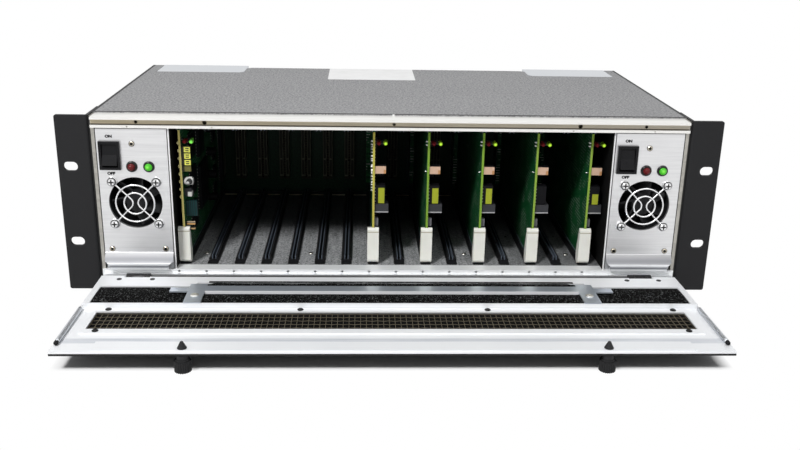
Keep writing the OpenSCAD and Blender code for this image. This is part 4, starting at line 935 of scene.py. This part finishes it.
def tubes(paths, sections):
    """Closed tubes: sections (tube, step, corner, 3) are offsets that are added to each path's points."""
    points = paths[:, :, None, :] + sections
    count, steps, corners, _ = points.shape
    faces = []
    one = grid_faces(steps, corners)
    for first in range(0, count * steps * corners, steps * corners):
        faces += (one + first).tolist() + caps(steps, corners, first)
    return points.reshape(-1, 3), faces


def volume(points, faces):
    """Signed volume: each face is cut into triangles, and each triangle makes a wedge with the origin."""
    triangles = np.array([(f[0], a, b) for f in faces for a, b in zip(f[1:], f[2:])])
    a, b, c = (points[triangles[:, k]] for k in range(3))
    return float(np.einsum("ij,ij->i", a, np.cross(b, c)).sum() / 6)


def place(name, mesh, finish, body):
    """Links a mesh that already lies where it belongs, and says what it rides on and is made of."""
    mesh.materials.clear()
    mesh.materials.append(finish)
    piece = bpy.data.objects.new(name, mesh)
    bpy.context.scene.collection.objects.link(piece)
    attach(piece, body)
    return piece


def make_piece(name, points, faces, finish, body, slot, smooth=40):
    """Puts a closed surface, in mm from the ears' lower edge, into the scene. Inside-out faces turn."""
    points = (np.asarray(points, float) - (0, 0, HALF_RACK)) * MM
    size = volume(points, faces)
    if size < 0:
        faces = [tuple(reversed(f)) for f in faces]
    mesh = bpy.data.meshes.new(name)
    mesh.from_pydata(points.tolist(), [], faces)
    mesh.polygons.foreach_set("use_smooth", np.ones(len(mesh.polygons), bool))
    mesh.set_sharp_from_angle(angle=math.radians(smooth))
    print(name, len(mesh.polygons), "faces", round(abs(size) / MM ** 3, 1), "mm3")
    return place(name, mesh, finish, body)


# %% [markdown]
# ## The foam filter
#
# Behind the door's far edge lies a long strip of open-cell foam, pinched under the bar in its middle
# and under two clips. The solid is a plain slab. The real strip swells up between the metal strips that
# press on it, so it is made again as a closed ring of points carried along the strip, with its top
# raised in each gap, and the pores come from its finish.

# %% Foam finish
def foam_finish():
    """Black foam: cells about 1.3 mm wide are dark inside, and their walls catch a grey speckle, which is
    painted highlight.
    """
    f = Finish("black filter foam")
    wall = inside(f.cells(0.6, feature="DISTANCE_TO_EDGE"), -0.1, 0.10, 0.08)
    fleck, grey = lit_foam_speckle(f, (0.006, 0.006, 0.006), (0.26, 0.27, 0.27))
    return f.done(f.blend(wall, (0.002, 0.002, 0.002), grey), 0.95,
                  f.bump(wall * 0.6 + fleck * 0.4, 0.7), Specular_IOR_Level=0.05)


# %% Foam strip
ROUND_MM, SIDE_FALL, END_FALL = 1.2, 1.4, 0.9
SWELL, SWELL_RAMP, WAVE_MM = 1.5, 4.0, 0.12


def rounding(v, low, high):
    """How far a quarter circle has fallen, 0 away from both ends of v's range and 1 at each end, and the
    share of the rounding's width that lies between v and the nearer end."""
    near = np.clip(np.minimum(v - low, high - v), 0, ROUND_MM) / ROUND_MM
    return 1 - np.sqrt(1 - (1 - near) ** 2), near


def foam_strip(low, high, gaps):
    """A section is carried along X. Its top is level but for two slow sines, falls as a quarter circle at
    its sides and ends, and swells as half an ellipse in each gap (y low, y high, x low, x high) between
    the metal strips that press on it."""
    n, top_steps = 300, 60
    along = np.linspace(low[0], high[0], n)[:, None]
    across = np.linspace(high[1], low[1], top_steps)[None, :]
    side_fall, side = rounding(across, low[1], high[1])
    end_fall, _ = rounding(along, low[0], high[0])
    wave = WAVE_MM * (1 + np.sin(along * 0.11) * np.sin(along * 0.043 + 1))
    top = high[2] - 0.1 - (SIDE_FALL * side_fall + END_FALL * end_fall) - wave
    for low_y, high_y, low_x, high_x in gaps:
        middle, half = (low_y + high_y) / 2, (high_y - low_y) / 2
        round_share = np.sqrt(np.clip(1 - ((across - middle) / half) ** 2, 0, 1))
        in_x = np.clip(np.minimum(along - low_x, high_x - along) / SWELL_RAMP, 0, 1)
        top = top + SWELL * round_share * in_x * side
    m = top_steps + 2
    points = np.empty((n, m, 3))
    points[..., 0] = along
    points[:, :top_steps, 1] = across
    points[:, :top_steps, 2] = top
    points[:, top_steps:, 1] = (low[1], high[1])
    points[:, top_steps:, 2] = low[2]
    return points.reshape(-1, 3), grid_faces(n, m).tolist() + caps(n, m)


def box_mm(node):
    """A solid's lowest and highest corner in mm from the ears' lower edge."""
    return tuple(np.array(v) / MM + (0, 0, HALF_RACK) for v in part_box(node))


foam_low, foam_high = box_mm("foam_filter")
CLIP_END = 160.0
FRONT_Y, BAR_FRONT_Y, BAR_REAR_Y, CLIP_REAR_Y, REAR_Y = -59.4, -41.3, -31.2, -29.8, -20.6
foam_gaps = [
    (BAR_REAR_Y, REAR_Y, -BAR_HALF, BAR_HALF),
    (FRONT_Y, BAR_FRONT_Y, -BAR_HALF, BAR_HALF),
    (FRONT_Y, CLIP_REAR_Y, foam_low[0], -CLIP_END),
    (FRONT_Y, CLIP_REAR_Y, CLIP_END, foam_high[0]),
]
foam_points, foam_faces = foam_strip(foam_low, foam_high, foam_gaps)
foam = make_piece("filter_foam", foam_points, foam_faces, foam_finish(), "door", "foam")
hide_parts("foam_filter")

# %% [markdown]
# ## The intake mesh
#
# Air enters through a window of woven wire. The solid there is a flat net with wide cells. The real cloth
# has wires 4 to 5 mm apart that pass over and under each other, so each wire is a thin tube along a wave,
# and neighbours have opposite waves. Each wire gets only a four-sided section, because there are more
# than a hundred of them. The cells look black, so a thin black sheet of painted shade lies close under
# the wires.

# %% Woven wires
WIRE_R, WAVE = 0.20, 0.19
CELL_X, CELL_Y = 3.9, 4.9


def wave_wires(starts, length, from_end, level, crossings, steps, along):
    """Wires side by side: the height is a cosine with its crests at the crossings, turned over for every
    other wire, and turned over once more for the wires along y, so that the two sets weave."""
    count = len(starts)
    t = np.linspace(0, 1, steps)
    phase = np.pi * (t * crossings)[None, :] + np.pi * (np.arange(count) % 2)[:, None]
    if along == 1:
        phase = phase + np.pi
    paths = np.empty((count, steps, 3))
    paths[..., along] = from_end + t[None, :] * length
    paths[..., 1 - along] = np.asarray(starts)[:, None]
    paths[..., 2] = level + WAVE * np.cos(phase)
    corner = np.pi / 4 + np.arange(4) * np.pi / 2
    ring = np.zeros((1, 1, 4, 3))
    ring[..., 1 - along] = WIRE_R * np.cos(corner)
    ring[..., 2] = WIRE_R * np.sin(corner)
    return tubes(paths, ring)


mesh_low, mesh_high = box_mm("intake_mesh")
mesh_level = (mesh_low[2] + mesh_high[2]) / 2
n_short, n_long = (int(round(v)) for v in (mesh_high - mesh_low)[:2] / (CELL_X, CELL_Y))
short_x = np.linspace(mesh_low[0] + 1, mesh_high[0] - 1, n_short)
long_y = np.linspace(mesh_low[1] + 1, mesh_high[1] - 1, n_long)
short_wires = wave_wires(
    short_x, long_y[-1] - long_y[0], long_y[0], mesh_level, n_long - 1, 2 * n_long - 1, 1)
long_wires = wave_wires(
    long_y, short_x[-1] - short_x[0], short_x[0], mesh_level, n_short - 1, 2 * n_short - 1, 0)


def joined(first, second):
    """Two surfaces (points, faces) as one."""
    shift = len(first[0])
    return np.vstack([first[0], second[0]]), first[1] + [[k + shift for k in face] for face in second[1]]


mesh_finish = plating("dark mesh wire", (0.30, 0.26, 0.19), 0.5)
cloth = make_piece("woven_mesh", *joined(short_wires, long_wires), mesh_finish, "door", "dark_mesh", 80)
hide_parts("intake_mesh")
gap_x, gap_y = short_x[1] - short_x[0], long_y[1] - long_y[0]
print("wires", n_short, n_long, "cells", round(gap_x, 2), round(gap_y, 2), "mm")

# %% [markdown]
# ## The prop arms
#
# A thin round rod lies along each side of the door, with a short black sleeve on its free end. The real
# ones are a little thinner than the solids, so they are made again. Each is a tube whose radius follows
# a rounded end: along the last bit the radius is that of a quarter circle.

# %% Rods and sleeves
def round_rod(x, from_y, to_y, z, radius, steps, around=20):
    """Circles along Y. Near both ends their radius is the root of 1 - t squared, t being 1 at the very
    end, but never under 0.35 of the whole, where a cap closes the tube."""
    t = np.linspace(0, np.pi, steps)
    y = (from_y + to_y) / 2 - np.cos(t) * (to_y - from_y) / 2
    near = np.clip(np.minimum(y - from_y, to_y - y) / (radius * 0.6), 0, 1)
    ring_r = radius * np.clip(np.sqrt(1 - (1 - near) ** 2), 0.35, 1)
    turn = np.linspace(0, 2 * np.pi, around, endpoint=False)
    section = np.zeros((1, steps, around, 3))
    section[0, ..., 0] = ring_r[:, None] * np.cos(turn)
    section[0, ..., 2] = ring_r[:, None] * np.sin(turn)
    path = np.stack([np.full(steps, x), y, np.full(steps, z)], -1)[None]
    return tubes(path, section)


ARM_X, ARM_R, SLEEVE_R, OVERLAP = 215.1, 1.6, 1.5, 0.4
rod_low, rod_high = box_mm("door_arms")
sleeve_low, sleeve_high = box_mm("arm_tips")
arm_z = rod_low[2] + ARM_R


def both_rods(from_y, to_y, radius, steps):
    """The same rod on the left and on the right."""
    return joined(*(round_rod(s * ARM_X, from_y, to_y, arm_z, radius, steps) for _, s in SIDES))


rod_pair = both_rods(rod_low[1], rod_high[1], ARM_R, 24)
rods = make_piece("prop_rods", *rod_pair, arm_finish, "door", "bare_steel")
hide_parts("door_arms")
sleeve_pair = both_rods(sleeve_low[1], sleeve_high[1] + OVERLAP, SLEEVE_R, 14)
sleeves = make_piece("rod_sleeves", *sleeve_pair, tip_finish, "door", "black_plastic")
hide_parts("arm_tips")

# %% [markdown]
# ## Small flat pieces
#
# A thin black sheet of painted shade lies in the window, and a blank paper label on the cover near its
# rear edge. The guides begin with thin tips that lie on the rail. Each of these flat pieces is an outline
# lifted from one height to another and capped.

# %% Outlines and slabs
def rounded_outline(low_x, high_x, low_y, high_y, radius, per_corner=6):
    """A rectangle with round corners: each corner is a quarter circle about its own centre."""
    turn = np.linspace(0, np.pi / 2, per_corner)[None, :] + (np.arange(4) * np.pi / 2)[:, None]
    centre_x = np.array([high_x - radius, low_x + radius, low_x + radius, high_x - radius])[:, None]
    centre_y = np.array([high_y - radius, high_y - radius, low_y + radius, low_y + radius])[:, None]
    corners = np.stack([centre_x + radius * np.cos(turn), centre_y + radius * np.sin(turn)], -1)
    return corners.reshape(-1, 2)


def slabs(outlines, levels):
    """Every outline (piece, corner, 2) is repeated at each level, which closes into a flat block."""
    count, corners, _ = outlines.shape
    points = np.zeros((count, len(levels), corners, 3))
    points[..., :2] = outlines[:, None]
    points[..., 2] = np.asarray(levels)[None, :, None]
    return tubes(np.zeros((count, len(levels), 3)), points)


# %% Shade sheet, label and guide tips
# The black sheet under the wires is painted shade, so that the cells look black.
WINDOW, SHADE_SHEET_DROP, SHADE_SHEET_MM = (-202.9, 202.9, -94.9, -67.1), 0.5, 0.2
shade_sheet_z = mesh_low[2] - SHADE_SHEET_DROP
shade_sheet_slab = slabs(rounded_outline(*WINDOW, 0.5)[None], [shade_sheet_z, shade_sheet_z + SHADE_SHEET_MM])
shade_sheet_finish = moulding("black shade sheet", (0.004, 0.004, 0.004), 0.8, 0.6, 0.1, 0.03)
make_piece("window_shade_sheet", *shade_sheet_slab, shade_sheet_finish, "door", "foam")

LABEL, COVER_TOP, PAPER_MM = (-53, 24, 160, 217.5), 132.4, 0.08
label_slab = slabs(rounded_outline(*LABEL, 1.0)[None], [COVER_TOP, COVER_TOP + PAPER_MM])
paper = moulding("blank label paper", (0.86, 0.86, 0.85), 0.6, 0.8, 0.01)
make_piece("blank_label", *label_slab, paper, "chassis", "white_plastic")

TIP_HALF, TIP_Y, TIP_Z = 4.0, (10.2, 18.3), (16.2, 16.6)
tip_x = FIRST_BOARD + SLOT_PITCH * np.arange(16)
tip_outlines = np.stack([rounded_outline(x - TIP_HALF, x + TIP_HALF, *TIP_Y, 1.2, 4) for x in tip_x])
make_piece("guide_tips", *slabs(tip_outlines, TIP_Z), guide_finish, "chassis", "black_plastic")

# %% [markdown]
# On the module fronts the switch is marked ON above and OFF below. Blender's own text gives the
# letters. The words are turned into a mesh before they are set in place, because a finished piece keeps
# its place in its mesh. A small offset makes the letters bolder.

# %% ON and OFF
WORD_MM, BOLDER, THICK, WIDER, PROUD = 2.7, 0.19, 0.02, 1.15, 0.03
ink = moulding("dark marking ink", (0.008, 0.008, 0.009), 0.6, shine=0.05)


def word_mesh(text):
    """The flat outline of a word, filled and thickened, as a mesh in the plane of its own x and y."""
    curve = bpy.data.curves.new(text, "FONT")
    curve.body, curve.size, curve.align_x = text, WORD_MM, "CENTER"
    curve.extrude, curve.offset = THICK, BOLDER
    holder = bpy.data.objects.new(text, curve)
    bpy.context.scene.collection.objects.link(holder)
    depsgraph = bpy.context.evaluated_depsgraph_get()
    mesh = bpy.data.meshes.new_from_object(holder.evaluated_get(depsgraph))
    bpy.data.objects.remove(holder)
    return mesh


def mark(text, x, z, side):
    """The word's own x runs along X and its y up Z, just in front of the module's plate."""
    mesh = word_mesh(text)
    flat = np.empty(len(mesh.vertices) * 3)
    mesh.vertices.foreach_get("co", flat)
    flat = flat.reshape(-1, 3)
    placed = np.stack([x + flat[:, 0] * WIDER, -PROUD - flat[:, 2], z + flat[:, 1] - HALF_RACK], -1)
    mesh.vertices.foreach_set("co", (placed * MM).ravel())
    mesh.update()
    piece = place(f"psu_{side}_{text.lower()}_mark", mesh, ink, f"psu_{side}")
    print(piece.name, len(mesh.polygons), "faces")


SWITCH_OFF, ON_Z, OFF_Z = -16.0, 116.4, 89.0
for side, s in SIDES:
    mark("ON", s * BAY_X + SWITCH_OFF, ON_Z, side)
    mark("OFF", s * BAY_X + SWITCH_OFF, OFF_Z, side)

# %% [markdown]
# ## Solder points, tabs and floor screws
#
# On the left of each board the leads of its parts stick through as small shiny points, the controller's
# edge carries a row of soldered tabs, and four screws hold the cage floor. All are small domes: half an
# ellipsoid, given by an angle round it and an angle from its rim to its top. Its rim goes a little into
# what carries it, and a small cap closes the top.

# %% Domes
SUNK = -0.15


def domes(places, radii, axis, rings=4, around=10):
    """Half ellipsoids that point along "-x" or "z": radius times cos(rise) round that axis, and height
    times sin(rise) along it."""
    places = np.asarray(places, float)
    radii = np.broadcast_to(np.asarray(radii, float), places.shape)
    rise = np.linspace(0, np.pi / 2 * 0.97, rings)[:, None]
    turn = np.linspace(0, 2 * np.pi, around, endpoint=False)[None, :]
    flat = np.cos(rise)
    parts = np.broadcast_arrays(flat * np.cos(turn), flat * np.sin(turn), np.sin(rise))
    unit = np.stack(parts, -1)
    unit[0, :, 2] = SUNK
    shape = unit if axis == "z" else unit[..., [2, 0, 1]] * (-1, 1, 1)
    return tubes(np.repeat(places[:, None], rings, 1), shape[None] * radii[:, None, None, :])


solder_finish = plating("solder points", (0.85, 0.85, 0.83), 0.25)
rng = np.random.default_rng(7)


def spots(x, y, z):
    """Places (spot, 3) from one or many values of each coordinate."""
    return np.stack(np.broadcast_arrays(x, y, z), -1)


LEAD_SIZE, EXTRA_LEADS = (1.5, 0.42, 0.42), 16
for card, at in card_x.items():
    lead_y = np.array([13.4, 13.4, 15.2, 15.2, 17.0])
    lead_z = np.array([109.6, 112.2, 109.6, 112.2, 88.6])
    if card == "card_1":
        lead_y = np.concatenate([lead_y, rng.uniform(13.3, 18.0, EXTRA_LEADS)])
        lead_z = np.concatenate([lead_z, np.linspace(107.5, 74.0, EXTRA_LEADS)])
    leads = domes(spots(at - HALF_BOARD, lead_y, lead_z), LEAD_SIZE, "-x")
    make_piece(f"{card}_solder_points", *leads, solder_finish, card, "nickel")

# %% Soldered tabs and floor screws
TAB_Y, TAB_Z, TAB_STEP = 12.9, 68.5, 5.9
tab_spots = spots(FIRST_BOARD - HALF_BOARD, TAB_Y, TAB_Z + TAB_STEP * np.arange(8))
tabs = domes(tab_spots, (1.3, 0.9, 1.5), "-x")
tab_finish = moulding("soldered tabs", (0.80, 0.72, 0.36), 0.4)
make_piece("controller_soldered_tabs", *tabs, tab_finish, "controller_card", "circuit_board")

FLOOR_SCREW_X, FLOOR_SCREW_Y, FLOOR_TOP = (-144.1, -62.7, 58.5, 139.9), 34.3, 16.2
floor_screws = domes(spots(FLOOR_SCREW_X, FLOOR_SCREW_Y, FLOOR_TOP), (2.0, 2.0, 0.8), "z", 5, 16)
make_piece("cage_floor_screws", *floor_screws, screw_finish, "chassis", "bare_steel")

# %% [markdown]
# ## Floor, light and background
#
# The photograph was taken on a white surface with soft light from the upper left, and its background is
# pure white. The floor keeps its own shadow, yet away from the object it should fade into the white, so
# it mixes a plain diffuse floor with white for the rays that come from the camera. Under the frame and
# its open door the mix is left out, so that the shadow stays as dark as it is there.

# %% Floor
TABLE_Z, HALF_TABLE = -0.0723, 3.0


def white_floor():
    """Diffuse white, mixed with plain white light for camera and mirror rays except under the object."""
    f = Finish("white table")
    x, y, _ = f.axes()
    under_x, under_y = (-216, 216), (-119, 236)
    under = inside(x, *under_x, 10) * inside(y, *under_y, 5)
    f.done((0.86, 0.86, 0.86), 0.8, Specular_IOR_Level=0.1)
    white = f.add("ShaderNodeEmission", {}, {"Color": (1, 1, 1), "Strength": 1.0})
    share = f.rays("Camera", "Glossy") * (1 - under)
    mix = f.add("ShaderNodeMixShader", {}, {0: share, 1: Wire(f, f.shader.outputs[0]), 2: white})
    f.tree.links.new(mix.socket, f.output.inputs[0])
    return f.material


table_mesh = bpy.data.meshes.new("table")
corners = [(a * HALF_TABLE, b * HALF_TABLE, TABLE_Z) for a, b in ((-1, -1), (1, -1), (1, 1), (-1, 1))]
table_mesh.from_pydata(corners, [], [(0, 1, 2, 3)])
table_mesh.materials.append(white_floor())
table = bpy.data.objects.new("table", table_mesh)
bpy.context.scene.collection.objects.link(table)
print("table at", TABLE_Z, "m")

# %% [markdown]
# The world gives a weak even light, yet what looks straight at it sees pure white, which is the photo's
# background. Three soft boxes do the rest: the key from the upper left, a broad weak fill from the
# right, and one overhead for the cover. The pale sheet sets their strengths, because it should come out
# about as light as its colour is written.

# %% World
def studio_world(ambient):
    """White where the camera or a mirror looks, and a weaker even light for everything else."""
    world = bpy.data.worlds.new("studio")
    world.use_nodes = True
    net = Net(world.node_tree)
    soft = net.add("ShaderNodeBackground", {}, {"Color": (0.97, 0.98, 1.0), "Strength": ambient})
    white = net.add("ShaderNodeBackground", {}, {"Color": (1, 1, 1), "Strength": 1.0})
    straight = net.rays("Camera", "Glossy", "Transmission")
    mix = net.add("ShaderNodeMixShader", {}, {0: straight, 1: soft, 2: white})
    output = net.tree.nodes.new("ShaderNodeOutputWorld")
    net.tree.links.new(mix.socket, output.inputs[0])
    bpy.context.scene.world = world


studio_world(0.26)


# %% Soft boxes
def soft_box(name, at, aim, width, height, watts):
    """A rectangular lamp that faces the point it is aimed at."""
    lamp = bpy.data.lights.new(name, "AREA")
    lamp.shape = "RECTANGLE"
    lamp.size, lamp.size_y = width, height
    lamp.energy = watts
    holder = bpy.data.objects.new(name, lamp)
    ahead = np.array(aim, float) - np.array(at, float)
    ahead /= np.linalg.norm(ahead)
    level = np.cross(ahead, (0, 0, 1.0))
    level /= np.linalg.norm(level)
    upright = np.cross(level, ahead)
    holder.matrix_world = Matrix.Translation(at) @ turned(level, upright, -ahead)
    bpy.context.scene.collection.objects.link(holder)


soft_box("key", (-0.75, -1.2, 1.45), (0, 0, 0), 0.34, 0.28, 30)
soft_box("fill", (0.8, -1.2, 1.5), (0, 0, 0), 1.0, 0.8, 5)
soft_box("overhead", (0, 0.4, 1.6), (0, 0.1, 0), 1.2, 1.0, 3)
bpy.context.scene.view_settings.view_transform = "Standard"
print("lamps", len(bpy.data.lights))
